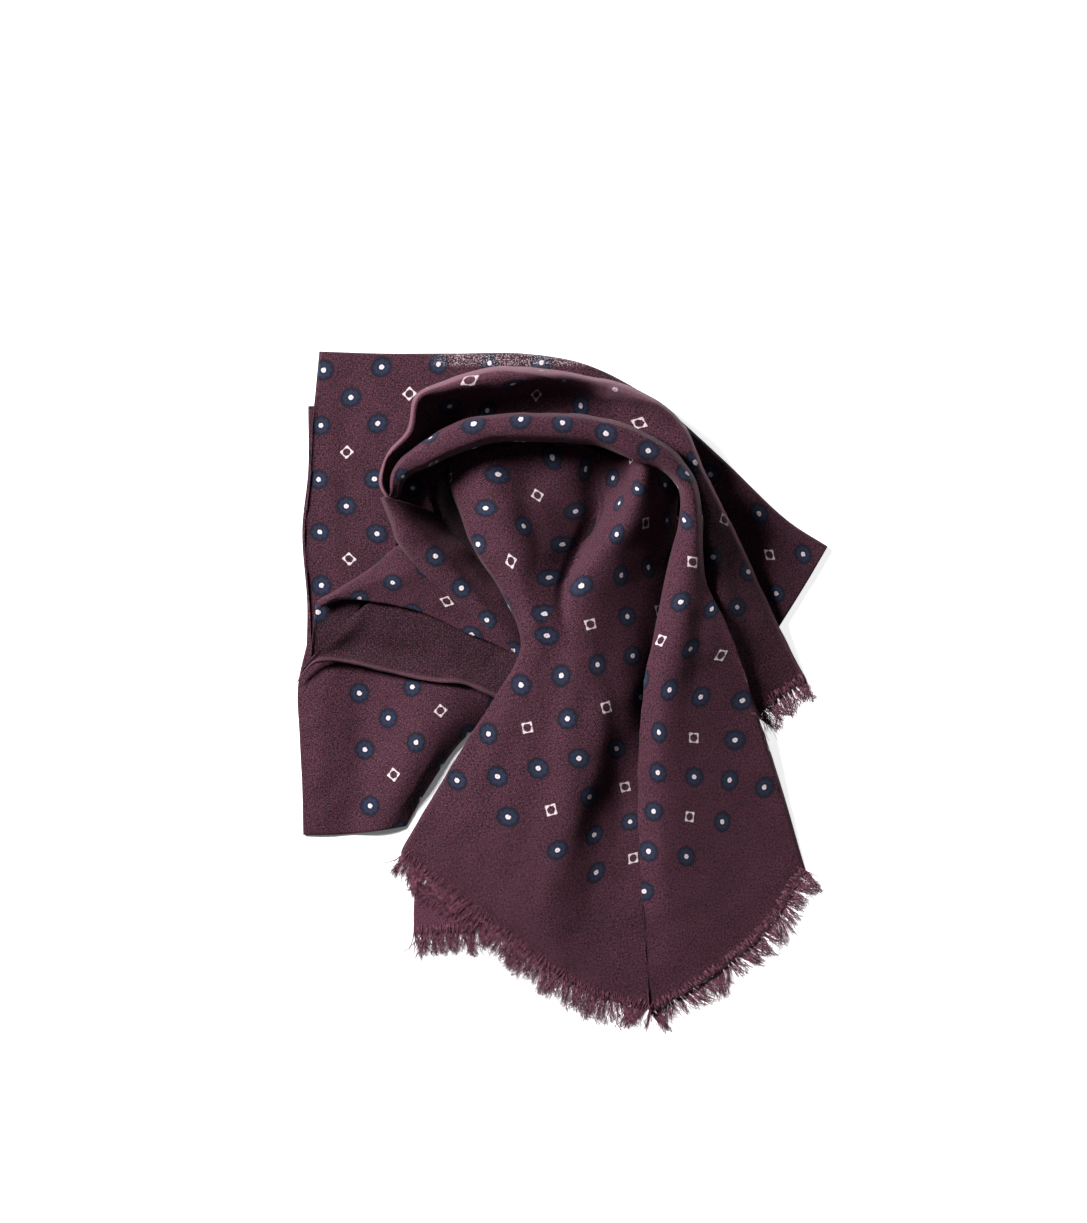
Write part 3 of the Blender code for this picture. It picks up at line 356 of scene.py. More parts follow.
def sections(runs, cell):
    """The sections of one or more tables that meet at sharp corners, refined along the cloth, with the
    station of each: the number of its table, and its share of the way through it."""
    found, stations = [], []
    for number, run in enumerate(runs):
        net = np.asarray(run, float)
        middle = net[:, net.shape[1] // 2, :2]
        outer = net[:, 0, :2]
        length = max(np.linalg.norm(np.diff(line, axis=0), axis=1).sum() for line in (middle, outer))
        fine = spline(net, max(3, round(length / cell) + 1))
        start = 1 if number else 0
        found.append(fine[start:])
        stations.append(number + np.linspace(0, 1, len(fine))[start:])
    return np.concatenate(found), np.concatenate(stations)


def places_across(start, end, knots, counts, turn):
    """Places from 0 to 1 across a section: close together in its turned edges, which take the shares `start`
    and `end` of it, and along its columns, at `knots`, with `counts` steps from each column to the next."""
    first = [start * share for share in turn] if start else [0.0]
    last = [1 - end * share for share in reversed(turn)] if end else [1.0]
    columns = [np.linspace(a, b, count + 1)[1:] for a, b, count in zip(knots, knots[1:], counts)]
    between = start + (1 - start - end) * np.concatenate(columns)[:-1]
    return np.concatenate([first, between, last])


def upper_face(runs, first, last, cell, turn):
    """Grid of points on a stretch's upper face, the station of each row, and its places across. `first` and
    `last` turn down its two long edges."""
    rough, stations = sections(runs, cell)
    shares = np.linspace(0, 1, len(rough))
    steps = np.linalg.norm(np.diff(rough[:, :, :2], axis=1), axis=2)
    widths = steps.sum(axis=1)
    reaches = np.array([Turn.spread(edge.reach, shares) for edge in (first, last)])
    feet = np.array([Turn.spread(edge.foot, shares) for edge in (first, last)])
    counts = [max(1, round(float(width) / cell)) for width in np.median(steps, axis=0)]
    parts = np.minimum(reaches / widths, WIDEST_TURN)
    grid, across = [], []
    for k, section in enumerate(rough):
        knots = np.concatenate([[0.0], np.cumsum(steps[k])]) / widths[k]
        places = places_across(*parts[:, k], knots, counts, turn)
        fine = cubic(knots, section, places)
        for side, inwards in enumerate((places, 1 - places)):
            if parts[side, k]:
                inside = np.clip(1 - inwards * widths[k] / reaches[side, k], 0, 1)
                edge = fine[-side, 2]
                fine[:, 2] -= (edge - feet[side, k]) * (1 - np.sqrt(1 - inside**2))
        grid.append(fine)
        across.append(places)
    return np.array(grid), stations, np.array(across)


def normals_of(grid):
    """Unit normals of a grid of points, pointing up."""
    found = np.cross(np.gradient(grid, axis=0), np.gradient(grid, axis=1))
    found /= np.linalg.norm(found, axis=2, keepdims=True) + 1e-12
    return found * (-1.0 if found[..., 2].mean() < 0 else 1.0)


print("lines round a turn:", len(COARSE_TURN), "in a wall and", len(FINE_TURN), "in the cloth")

# %% [markdown]
# ## One layer on another
#
# Each stretch lies on those laid before it. A pile keeps what is laid so far in BVH trees, which answer a ray
# quickly, and a new grid is raised where it would sink in, with the raise spread softly. The same is done
# twice: with the stiff walls, which gives the part's own form, and then with the thin cloth.

# %% The pile
class Pile:
    """What has been laid so far, so that the next stretch lies over it."""

    def __init__(self):
        self.trees = []

    def add(self, points, faces):
        """Lays one more piece on the pile."""
        self.trees.append(BVHTree.FromPolygons(points.tolist(), faces))

    def top(self, x, y):
        """Height of what lies at a place, or 0."""
        hits = [tree.ray_cast(Vector((x, y, HIGHEST)), Vector((0, 0, -1)))[0] for tree in self.trees]
        return max((hit.z for hit in hits if hit), default=0.0)


def circle(radius, count):
    """Offsets evenly round a circle."""
    angles = [math.tau * k / count for k in range(count)]
    return [(radius * math.cos(angle), radius * math.sin(angle)) for angle in angles]


def soften(field, passes):
    """A field of values, averaged with its neighbours."""
    for _ in range(passes):
        padded = np.pad(field, 1, mode="edge")
        field = (padded[:-2, 1:-1] + padded[2:, 1:-1] + padded[1:-1, :-2] + padded[1:-1, 2:] + 2 * field) / 6
    return field


def lift_over(grid, pile, thickness, gap, around, passes):
    """How far each point of a grid has to rise to lie on the pile."""
    slope = np.clip(normals_of(grid)[..., 2], STEEPEST, 1)
    lift = np.zeros(grid.shape[:2])
    for i, j in np.ndindex(*lift.shape):
        x, y, z = grid[i, j]
        top = max(pile.top(x + dx, y + dy) for dx, dy in around)
        if top:
            lift[i, j] = max(0.0, top + gap + thickness / slope[i, j] - z)
    spread = lift.copy()
    for _ in range(passes):
        spread = np.maximum(lift, soften(spread, 1))
    return spread


def raised(grid, lift):
    """A grid with its heights raised."""
    return grid + np.stack([0 * lift, 0 * lift, lift], axis=-1)


def shell(grid, thickness):
    """Points and faces of the closed sheet under a grid: upper face, lower face and rim."""
    rows, columns = grid.shape[:2]
    under = grid - thickness * normals_of(grid)
    under[..., 2] = np.maximum(under[..., 2], 0.02)
    points = np.concatenate([grid.reshape(-1, 3), under.reshape(-1, 3)])
    count = rows * columns
    index = np.arange(count).reshape(rows, columns)
    corners = [index[:-1, :-1], index[:-1, 1:], index[1:, 1:], index[1:, :-1]]
    upper = np.stack(corners, axis=-1).reshape(-1, 4)
    lower = np.stack([corner + count for corner in reversed(corners)], axis=-1).reshape(-1, 4)
    border = np.concatenate([index[0, :-1], index[:-1, -1], index[-1, :0:-1], index[:0:-1, 0]])
    after = np.roll(border, -1)
    rim = np.stack([after, border, border + count, after + count], axis=-1)
    faces = np.concatenate([upper, lower, rim])
    first = points[faces[0]]
    if np.cross(first[1] - first[0], first[2] - first[0])[2] < 0:
        faces = faces[:, ::-1]
    return points, faces.tolist()


walls = Pile()
cloths = Pile()
print("two piles are empty:", len(walls.trees), len(cloths.trees))

# %% [markdown]
# ## Creases and ripples
#
# Real wool isn't a drawn surface: it holds soft troughs and ridges where it was folded and pulled. The main
# ones are given as rows of a table: from where to where, how far the line bows aside, how wide it is and how
# high. Broad faint ripples from a few waves make the rest uneven. A cloth simulation would give such creases
# too, but never in the places that the photo shows.

# %% Creases, ripples
CREASE_END = 0.35  # share of a crease that its end takes


def crease_heights(plan, creases):
    """Heights that a table of creases adds at some places on the plan, less towards each crease's ends."""
    total = np.zeros(plan.shape[:-1])
    for x0, y0, x1, y1, bow, width, height in creases:
        start = np.array([x0, y0], float)
        way = np.array([x1, y1], float) - start
        length = np.linalg.norm(way)
        way /= length
        along = (plan - start) @ way / length
        across = (plan - start) @ np.array([-way[1], way[0]]) - 4 * bow * along * (1 - along)
        end = np.clip(np.minimum(along, 1 - along) / CREASE_END + 0.15, 0, 1)
        total += height * end * end * (3 - 2 * end) * np.exp(-((across / width) ** 2))
    return total


def ripples(plan, seed, length=17.0, waves=26):
    """Smooth irregular waves of about unit height."""
    chance = np.random.default_rng(seed)
    total = np.zeros(plan.shape[:-1])
    for _ in range(waves):
        angle = chance.uniform(0, math.tau)
        count = math.tau / (length * chance.uniform(0.6, 1.9))
        way = np.array([math.cos(angle), math.sin(angle)])
        total += np.sin(plan @ way * count + chance.uniform(0, math.tau))
    return total / math.sqrt(waves / 2)


print("ripples spread:", ripples(np.random.default_rng(1).uniform(0, 200, (500, 2)), 1).std().round(2))

# %% [markdown]
# ## Where the print goes
#
# The print is a square lattice of motifs that lies on the cloth's own grain. So the shader needs to know
# where each point would lie if the stretch were opened flat. `unrolled` walks over the cloth and lays every
# step down at its true length, and follows the way that a bent strip turns. Where cloth is tucked away in a
# valley, the print jumps by as much. A few pins then say which motif the photo shows where, and a best turn
# and shift with soft corrections puts the lattice on them.

# %% Unroll and pin
PIN_REACH = 26.0  # how far a pin is felt
PIN_EASE = 0.06  # how far the corrections may miss a pin, so that the print stays even
TURNED_AWAY = 0.1  # normals that rise less are of cloth that the photo hardly shows
TURNED_COST = 40.0  # how much nearer such cloth has to be to take a pin


def unrolled(grid, turns, tuck):
    """Where each point lies when the stretch is opened flat. `turns` are pairs of a share of the way and
    how many degrees the grain has turned there. `tuck` is a line (x, y, hidden) from the back to the front,
    at which so many mm of cloth are folded out of sight."""
    rows, columns = grid.shape[:2]
    middle = columns // 2
    shares, degrees = zip(*turns)
    angles = np.radians(np.interp(np.linspace(0, 1, rows), shares, degrees))

    def flat(steps, angle):
        plan = steps[..., :2]
        scale = np.linalg.norm(steps, axis=-1) / np.maximum(np.linalg.norm(plan, axis=-1), 1e-3)
        x, y = plan[..., 0] * scale, plan[..., 1] * scale
        cosine, sine = np.cos(angle), np.sin(angle)
        return np.stack([x * cosine + y * sine, y * cosine - x * sine], axis=-1)

    along = flat(np.diff(grid[:, middle], axis=0), (angles[1:] + angles[:-1]) / 2)
    across = flat(np.diff(grid, axis=1), angles[:, None])
    start = grid[:1, middle, :2]
    spine = np.concatenate([start, start + np.cumsum(along, axis=0)])
    sums = np.concatenate([np.zeros((rows, 1, 2)), np.cumsum(across, axis=1)], axis=1)
    found = spine[:, None] + sums - sums[:, middle:middle + 1]
    if tuck:
        xs, ys, hidden = np.array(tuck[::-1], float).T
        x, y = grid[..., 0], grid[..., 1]
        lean = np.interp(y, ys, np.gradient(xs, ys))
        way = np.stack([1 / np.hypot(1, lean), -lean / np.hypot(1, lean)], axis=-1)
        beyond = (x > np.interp(y, ys, xs)) | (y < ys[0])
        found += (np.interp(y, ys, hidden) * beyond)[..., None] * way
    return found


def pinned(grid, flat, pins):
    """Lattice places (i, j) of each point, from pins (x, y, i, j)."""
    facing = normals_of(grid)[..., 2]
    spots = []
    for x, y, _, _ in pins:
        distance = np.hypot(grid[..., 0] - x, grid[..., 1] - y)
        distance[facing < TURNED_AWAY] += TURNED_COST
        spots.append(flat[np.unravel_index(distance.argmin(), distance.shape)])
    spots = np.array(spots)
    sources = (spots[:, 0] - 1j * spots[:, 1]) / PITCH
    targets = np.array([i + 1j * j for _, _, i, j in pins])
    turn = ((targets - targets.mean()) * np.conj(sources - sources.mean())).sum()
    turn = turn / abs(turn) if abs(turn) > 1e-6 else np.exp(1j * math.radians(45))
    shift = (targets - turn * sources).mean()
    misses = targets - turn * sources - shift

    def nearness(places):
        gaps = np.linalg.norm(places[..., None, :] - spots, axis=-1)
        return np.exp(-((gaps / PIN_REACH) ** 2) / 2)

    weights = np.linalg.solve(nearness(spots) + PIN_EASE * np.eye(len(pins)), misses)
    found = turn * (flat[..., 0] - 1j * flat[..., 1]) / PITCH + shift + nearness(flat) @ weights
    return np.stack([found.real, found.imag], axis=-1), abs(misses).max() * PITCH


print("pins reach", PIN_REACH, "mm")

# %% [markdown]
# ## Shader maths as plain sums
#
# A node graph of sums is hard to read, so a socket is wrapped in a small class whose operators add the Math
# nodes. Any other node comes from one method that takes its type, its settings and its sockets' values.

# %% Wires and recipes
class Wire:
    """A shader socket that can stand in a sum."""

    def __init__(self, recipe, socket):
        self.recipe = recipe
        self.socket = socket

    def __add__(self, other):
        return self.recipe.sum("ADD", self, other)

    def __sub__(self, other):
        return self.recipe.sum("SUBTRACT", self, other)

    def __rsub__(self, other):
        return self.recipe.sum("SUBTRACT", other, self)

    def __mul__(self, other):
        return self.recipe.sum("MULTIPLY", self, other)

    def __lt__(self, other):
        return self.recipe.sum("LESS_THAN", self, other)

    def __gt__(self, other):
        return self.recipe.sum("GREATER_THAN", self, other)

    def __abs__(self):
        return self.recipe.sum("ABSOLUTE", self)

    __radd__ = __add__
    __rmul__ = __mul__

    def fade(self, full, gone):
        """1 up to `full`, then softly down to 0 at `gone`."""
        sockets = {"Value": self, "From Min": full, "From Max": gone, "To Min": 1.0, "To Max": 0.0}
        return self.recipe.wire("ShaderNodeMapRange", {"interpolation_type": "SMOOTHSTEP"}, sockets)


class Recipe:
    """A material under construction."""

    def __init__(self, name):
        self.material = bpy.data.materials.new(name)
        self.material.use_nodes = True
        self.tree = self.material.node_tree
        self.surface = self.tree.nodes["Principled BSDF"]

    def node(self, kind, settings, sockets):
        """A node of any type, with its settings made first and then its sockets."""
        made = self.tree.nodes.new(kind)
        for name, value in settings.items():
            setattr(made, name, value)
        for name, value in sockets.items():
            self.feed(made.inputs[name], value)
        return made

    def feed(self, socket, value):
        """Links a wire to a socket, or sets the socket's own value."""
        if isinstance(value, Wire):
            self.tree.links.new(value.socket, socket)
        else:
            socket.default_value = value

    def wire(self, kind, settings, sockets, output=0):
        """One output of a new node, as a wire."""
        return Wire(self, self.node(kind, settings, sockets).outputs[output])

    def sum(self, operation, *terms):
        """A Math node."""
        return self.wire("ShaderNodeMath", {"operation": operation}, dict(enumerate(terms)))

    def blend(self, share, low, high):
        """A colour between two others."""
        sockets = {0: share, 6: low, 7: high}
        return self.wire("ShaderNodeMix", {"data_type": "RGBA"}, sockets, output=2)

    def noise(self, place, scale, detail):
        """Soft noise from 0 to 1 at a place."""
        sockets = {"Vector": place, "Scale": scale, "Detail": detail}
        return self.wire("ShaderNodeTexNoise", {}, sockets)

    def own_place(self):
        """A point's place on the object itself, in metres."""
        return self.wire("ShaderNodeTexCoord", {}, {}, output=3)

    def parts(self, place):
        """The x and the y of a place, as two wires."""
        split = self.node("ShaderNodeSeparateXYZ", {}, {"Vector": place})
        return [Wire(self, split.outputs[k]) for k in (0, 1)]

    def finished(self, sockets):
        """The material, with the named sockets of its surface fed."""
        for name, value in sockets.items():
            self.feed(self.surface.inputs[name], value)
        return self.material


print("a wire can:", *[name.strip("_") for name, held in vars(Wire).items() if callable(held)])

# %% [markdown]
# ## Printed wool
#
# The wool is a fine open plain weave, burgundy with a slight haze of pale fibres that shows as sheen where
# the cloth turns away. Its print is two small motifs on one lattice: a navy rosette with a white eye, and at
# every second place in both directions a white square with drawn-out corners and a round hole. Both are drawn
# by formulas in millimetres round the nearest lattice place, so that they stay crisp from near and cost no
# image. Where a stretch has a plain border, a limit on the lattice place leaves whole motifs out, as a
# printer's screen does.
#
# The loop and the wedge also show the cloth's paler back along their turned edges, where the mesh carries a
# share named reverse, and the middle of the back fold is worn to pale flecks.

# %% The print's sizes and colours
ROSETTE = 5.5  # radius in mm
ROSETTE_LOBES = 8
ROSETTE_BLUE = 4.2  # radius of its paler inside
EYE = 1.2
SQUARE = 2.4  # from its middle to the middle of a side
PINCH = 0.12  # how much further out its corners are drawn
HOLE = 2.0  # radius of the round hole in it
BLUNT = (3.2, 3.8)  # where its corners fade out
WOBBLE = 0.35  # how far a printed edge wanders
THREAD = 0.85
CLOUDY, GRAINY, WOVEN, CROSSED, EVENED = 0.22, 0.15, 2.8, 0.3, -1.32  # what makes up the wool's shade
WORN_PLACE = (-0.022, 0.1665)  # the middle of the worn fold, in metres
WORN_LENGTH = (0.030, 0.048)  # to each side of it, where the flecks begin to fade and end
WORN_WIDTH = (0.0015, 0.0045)
WINE_PALE = (0.090, 0.0265, 0.046, 1)
WINE_DARK = (0.0045, 0.0011, 0.0026, 1)
REVERSE = (0.128, 0.054, 0.074, 1)  # the paler back of the cloth
NAVY = (0.0030, 0.0042, 0.0105, 1)
BLUE = (0.0115, 0.0185, 0.041, 1)
CHALK = (0.68, 0.58, 0.59, 1)
HAZE = (0.95, 0.70, 0.76, 1)
LINT = (0.34, 0.27, 0.29, 1)


def woven(recipe, i, j):
    """The weave's own light and dark, and a check of its crossings that goes from -1 to 1."""
    per_thread = PITCH / math.sqrt(2) / THREAD
    across, along = (i + j) * per_thread, (i - j) * per_thread
    warp, weft = (
        recipe.wire("ShaderNodeCombineXYZ", {}, {"X": a * 2.1, "Y": b * 0.8, "Z": level})
        for a, b, level in ((across, along, 0.0), (along, across, 9.0))
    )
    over = recipe.sum("SINE", across * math.pi) * recipe.sum("SINE", along * math.pi)
    threads = {0: over * 0.5 + 0.5, 2: recipe.noise(warp, 1.0, 0.0), 3: recipe.noise(weft, 1.0, 0.0)}
    return recipe.wire("ShaderNodeMix", {"data_type": "FLOAT"}, threads), over


def worn(recipe, wool):
    """The wool with pale flecks along the middle of the back fold."""
    spot = recipe.own_place()
    x, y = recipe.parts(spot)
    near = abs(x - WORN_PLACE[0]).fade(*WORN_LENGTH) * abs(y - WORN_PLACE[1]).fade(*WORN_WIDTH)
    flecks = 1 - recipe.noise(spot, 1500.0, 1.0).fade(0.52, 0.62)
    return recipe.blend(near * flecks * 0.75, wool, LINT)


def printed_wool(name, limits=(), tucked=(), bare=False, pale=0.0, reverse=0.0, worn_edge=False):
    """The material of one stretch. `limits` are rows (a, b, most): motifs are left out where a i + b j is
    over `most`. `tucked` are lattice places whose motif is out of sight, and `bare` leaves all motifs out.
    `pale` lightens the wool, as light through one open layer does, or darkens it with painted shade.
    `reverse` is how much of the cloth's paler back shows where the mesh says so, and `worn_edge` adds flecks
    along the back fold."""
    recipe = Recipe(name)
    place = recipe.wire("ShaderNodeUVMap", {"uv_map": "print"}, {})
    i, j = recipe.parts(place)
    cloud = recipe.noise(place, 1.3, 3.0)
    grain = recipe.noise(place, PITCH / 0.9, 1.0)
    weave, over = woven(recipe, i, j)

    shade = cloud * CLOUDY + grain * GRAINY + weave * WOVEN + abs(over) * CROSSED + EVENED + pale
    wool = recipe.blend(shade, WINE_DARK, WINE_PALE)
    if not bare:
        wool = motifs(recipe, wool, i, j, weave, grain, limits, tucked)
    if reverse:
        share = recipe.wire("ShaderNodeAttribute", {"attribute_name": "reverse"}, {}, output=2)
        wool = recipe.blend(share * (0.65 + weave * 0.35) * reverse, wool, REVERSE)
    if worn_edge:
        wool = worn(recipe, wool)
    nap = {"Height": weave * 1.2 + abs(over) * 0.5 + grain * 0.3, "Distance": 0.0003, "Strength": 0.8}
    return recipe.finished({
        "Base Color": wool, "Roughness": 0.82, "Specular IOR Level": 0.15,
        "Sheen Weight": 0.07, "Sheen Roughness": 0.45, "Sheen Tint": HAZE,
        "Normal": recipe.wire("ShaderNodeBump", {}, nap),
    })


def motifs(recipe, wool, i, j, weave, grain, limits, tucked):
    """The colour of the wool with both motifs printed on it."""
    column, row = (recipe.sum("FLOOR", value + 0.5) for value in (i, j))
    wander = (grain - 0.5) * WOBBLE
    x, y = (i - column) * PITCH + wander, (j - row) * PITCH - wander
    radius = recipe.sum("SQRT", x * x + y * y)
    shown = 1.0
    for a, b, most in limits:
        shown = (column * a + row * b < most + 0.5) * shown
    for a, b in tucked:
        shown = (1 - recipe.sum("COMPARE", column, a, 0.1) * recipe.sum("COMPARE", row, b, 0.1)) * shown
    squares = recipe.sum("FRACT", column * 0.5) * recipe.sum("FRACT", row * 0.5) > 0.2
    ink = (0.70 + weave * 0.25 + grain * 0.2) * shown

    petals = recipe.sum("COSINE", recipe.sum("ARCTAN2", y, x) * ROSETTE_LOBES)
    disc = (radius - petals * 0.14).fade(ROSETTE - 0.8, ROSETTE + 0.5) * (1 - squares) * ink
    inner = (radius - petals * 0.35 + (grain - 0.5) * 2.2).fade(ROSETTE_BLUE - 1.3, ROSETTE_BLUE + 0.7)
    ringed = abs(radius - 1.8).fade(0.15, 0.55)
    blue = recipe.blend(inner * (1 - ringed * 0.6) * (0.1 + grain * 1.8), NAVY, BLUE)
    coloured = recipe.blend(disc, wool, blue)
    eye = (radius + (grain - 0.5) * 0.9).fade(EYE - 0.25, EYE + 0.25) * (0.86 - radius.fade(0.2, 0.5) * 0.4)

    longer, shorter = (recipe.sum(kind, abs(x), abs(y)) for kind in ("MAXIMUM", "MINIMUM"))
    patch = (longer - shorter * PINCH).fade(SQUARE - 0.2, SQUARE + 0.2) * radius.fade(*BLUNT)
    hole = (radius + (grain - 0.5) * 0.5).fade(HOLE - 0.2, HOLE + 0.2)
    outline = patch * (1 - hole) * (0.3 + grain * 0.95)
    white = recipe.sum("MAXIMUM", eye * (1 - squares) * shown, outline * squares * ink)
    return recipe.blend(white, coloured, CHALK)


print("motif radius", ROSETTE, "mm, thread", THREAD, "mm")

# %% [markdown]
# ## Laying one stretch
#
# All stretches are made alike: the wall's own form first, then the fine cloth over it with its creases and
# ripples, settled on the cloth below, and unrolled and pinned for the print. The size that its piece of the
# scarf would have when ironed flat is printed.

# %% From a table to a sheet
RIPPLED = 0.14  # usual height of the ripples
SMOOTHING = 8  # passes that soften the walls' lifts under the cloth
WALL_SPREAD = 3  # passes that spread a wall's lift to its neighbours
CLOTH_SPREAD = 4  # and a cloth's
FREE_FROM = 3.0  # height at which a crease has its full depth
REVERSE_SOFT = 1.2  # how softly the paler back ends


def mesh_piece(name, points, faces, material, lattice=None):
    """A smooth mesh piece of the scarf, with the print's places as its UV map."""
    mesh = bpy.data.meshes.new(name)
    mesh.from_pydata(to_metres(points).tolist(), [], faces)
    if lattice is not None:
        corners = np.empty(len(mesh.loops), int)
        mesh.loops.foreach_get("vertex_index", corners)
        layer = mesh.uv_layers.new(name="print")
        layer.data.foreach_set("uv", lattice[corners].astype(np.float32).ravel())
    mesh.materials.append(material)
    mesh.shade_smooth()
    piece = bpy.data.objects.new(name, mesh)
    bpy.context.scene.collection.objects.link(piece)
    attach(piece, "root")
    return piece


def settled(runs, first, last, cell, creases, rippled):
    """The grid of one stretch's cloth, laid on its own wall and on the cloth below it, and its places
    across. The wall goes on the pile of walls."""
    wall, wall_stations, wall_places = upper_face(runs, first, last, cell, COARSE_TURN)
    lift = lift_over(wall, walls, WALL, SEAM, [(0, 0)] + circle(LAY_AROUND, 6), WALL_SPREAD)
    walls.add(*shell(raised(wall, lift), WALL))

    grid, stations, places = upper_face(runs, first, last, FINE, FINE_TURN)
    by_row = []
    for station, across in zip(stations, places):
        k = int(np.searchsorted(wall_stations, station, side="right")) - 1
        k = min(max(k, 0), len(wall_stations) - 2)
        t = (station - wall_stations[k]) / (wall_stations[k + 1] - wall_stations[k])
        ends = [np.interp(across, wall_places[n], lift[n]) for n in (k, k + 1)]
        by_row.append(ends[0] * (1 - t) + ends[1] * t)
    grid = raised(grid, soften(np.array(by_row), SMOOTHING))

    plan = grid[..., :2]
    height = crease_heights(plan, creases) + rippled * ripples(plan, len(walls.trees))
    free = np.clip((grid[..., 2] - CLOTH) / FREE_FROM, 0, 1)
    grid = grid + normals_of(grid) * (height * free)[..., None]
    grid = raised(grid, lift_over(grid, cloths, CLOTH, AIR, [(0, 0)], CLOTH_SPREAD))
    grid[..., 2] = np.maximum(grid[..., 2], CLOTH + 0.03)
    return grid, places


def mark_reverse(piece, grid, places, reach):
    """Marks where a turned edge shows the back of the cloth, as a share at each point of the piece."""
    reaches = Turn.spread(reach, np.linspace(0, 1, len(grid)))[:, None]
    widths = np.linalg.norm(np.diff(grid[..., :2], axis=1), axis=2).sum(axis=1)[:, None]
    share = np.clip((reaches - places * widths) / REVERSE_SOFT + 0.4, 0, 1).ravel()
    shows = piece.data.attributes.new("reverse", "FLOAT", "POINT")
    shows.data.foreach_set("value", np.concatenate([share, 0 * share]).astype(np.float32))


def lay_cloth(
    node, runs, first=NO_TURN, last=NO_TURN, cell=COARSE, creases=(), rippled=RIPPLED, pins=((0, 0, 0, 0),),
    turns=((0, 0), (1, 0)), tuck=(), material=None, reverse=False,
):
    """Lays one stretch of cloth in place of its node, and returns its grid."""
    grid, places = settled(runs, first, last, cell, creases, rippled)
    lattice, miss = pinned(grid, unrolled(grid, turns, tuck), pins)
    points, faces = shell(grid, CLOTH)
    cloths.add(points, faces)
    both_faces = np.concatenate([lattice.reshape(-1, 2)] * 2)
    piece = mesh_piece(node + "_cloth", points, faces, material, both_faces)
    if reverse:
        mark_reverse(piece, grid, places, first.reach)
    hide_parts(node)
    steps = [np.linalg.norm(np.diff(grid, axis=axis), axis=2).sum(axis=axis) for axis in (0, 1)]
    length, width = (float(values.mean()) * MM for values in steps)
    size = f"{width / MM:.0f} x {length / MM:.0f} mm flat"
    print(f"{node}: {len(faces)} faces, {size}, pins miss by {miss:.0f} mm")
    return grid

# %% [markdown]
# ## The layers at the bottom
#
# Laying starts with what lies on the table: a strip of the under layer that shows along the left, and the
# corner of the lower end that shows under the fan. That corner is one open layer over white, so it is paler.

# %% Under layer, under corner
lay_cloth(
    "under_layer", [UNDER_LAYER], cell=12, rippled=0.1,
    material=printed_wool("wool_under"),
)
corner_grid = lay_cloth(
    "under_corner", [UNDER_CORNER], cell=10, rippled=0.1,
    material=printed_wool("wool_sheer", bare=True, pale=0.4),
)

# %% [markdown]
# ## The lower left panel
#
# It lies nearly flat, with the plain selvedge on its left and a long soft trough beside it. Its right side
# turns down into the dark beside the fan.

# %% Lower left panel
LOWER_LEFT_PINS = (
    (-102.5, 1, -1, 0), (-61, -8.5, 1, -1), (-96.5, -55.5, 1, 2), (-76, 4, 0, -1), (-74, -24, 1, 0),
    (-85, -40.5, 1, 1),
)
LOWER_LEFT_CREASES = (
    (-112, 4, -110, -66, 3, 6, 0.7),
    (-96, -2, -104, -60, -2, 7, -0.5),
    (-66, 2, -92, -62, 4, 5, 0.6),
)
lay_cloth(
    "lower_left_panel", [LOWER_LEFT], last=Turn(2.2, 0.0), creases=LOWER_LEFT_CREASES, pins=LOWER_LEFT_PINS,
    material=printed_wool("wool_lower_left", limits=((-1, 1, 1),)),
)

# %% [markdown]
# ## The back panel
#
# One long stretch goes up the left side, along the back and down to the pointed right corner. Its outer edge
# is a fold.

# %% Back panel
BACK_PINS = (
    (-120.5, 162.5, 1, 0), (-11, 166.5, 5, -4), (-122.5, 108.5, 3, 2), (-121.5, 55, 5, 4), (-95, 108.5, 4, 1),
    (104, 71, 11, -7), (120, 70.5, 11, -8), (98.5, 91, 10, -7), (107.5, 50.5, 12, -7),
)
BACK_CREASES = (
    (-118, 160, -116, 60, 3, 7, 0.5),
    (-104, 165, -108, 70, -4, 6, -0.6),
    (-92, 60, -118, 84, 2, 5, 0.6),
    (90, 96, 118, 52, 3, 6, 0.7),
)
lay_cloth(
    "back_panel", [BACK_LEFT, BACK_TOP], cell=9, first=Turn(1.8, BACK_FOOT), creases=BACK_CREASES,
    pins=BACK_PINS, turns=((0, 0), (0.62, 0), (0.8, -38), (1, -38)),
    material=printed_wool("wool_back", pale=-0.05, worn_edge=True),
)

# %% [markdown]
# ## The folds at the left
#
# Three narrow stretches lie one over the other: the cloth inside the fold's open end, the plain border
# turned back as a wedge with a rolled lower edge, and the printed fold over both. The first two are
# darkened with painted shade.

# %% Fold's inside, wedge, fold
# painted shade: pale=-0.2 darkens the cloth inside the fold's open end, which lies in the fold's shadow
lay_cloth(
    "fold_1_turn", [FOLD_1_TURN], cell=6, first=Turn(1.8, 3.8), pins=((-122.5, 41.5, 0, 0),), rippled=0.15,
    material=printed_wool("wool_fold_inside_painted_shade", pale=-0.2),
)
WEDGE_CREASES = (
    (-98, 44, -126, 18, 2, 3.5, 0.8),
    (-112, 30, -60, 18, -3, 6, -0.7),
    (-90, 46, -30, 10, 3, 6, 0.5),
)
# painted shade: pale=-0.2 darkens the wedge, which lies in the shadow of the fold over it
lay_cloth(
    "wedge", [WEDGE], first=Turn(2.2, WEDGE_FOOT), creases=WEDGE_CREASES, reverse=True,
    material=printed_wool("wool_border_painted_shade", bare=True, pale=-0.2, reverse=0.5),
)
FOLD_PINS = ((-85, 56, 0, 0), (-58, 46, 1, 1), (-74.5, 41.5, 0, 1), (-45, 30.5, 1, 2))
FOLD_CREASES = (
    (-116, 50, -60, 62, 2, 4, 0.5),
    (-100, 48, -40, 36, -2, 4, -0.6),
)
lay_cloth(
    "fold_1", [FOLD_1], first=Turn(1.8, FOLD_1_UPPER_FOOT), last=Turn(1.8, FOLD_1_LOWER_FOOT), pins=FOLD_PINS,
    creases=FOLD_CREASES, material=printed_wool("wool_fold"),
)

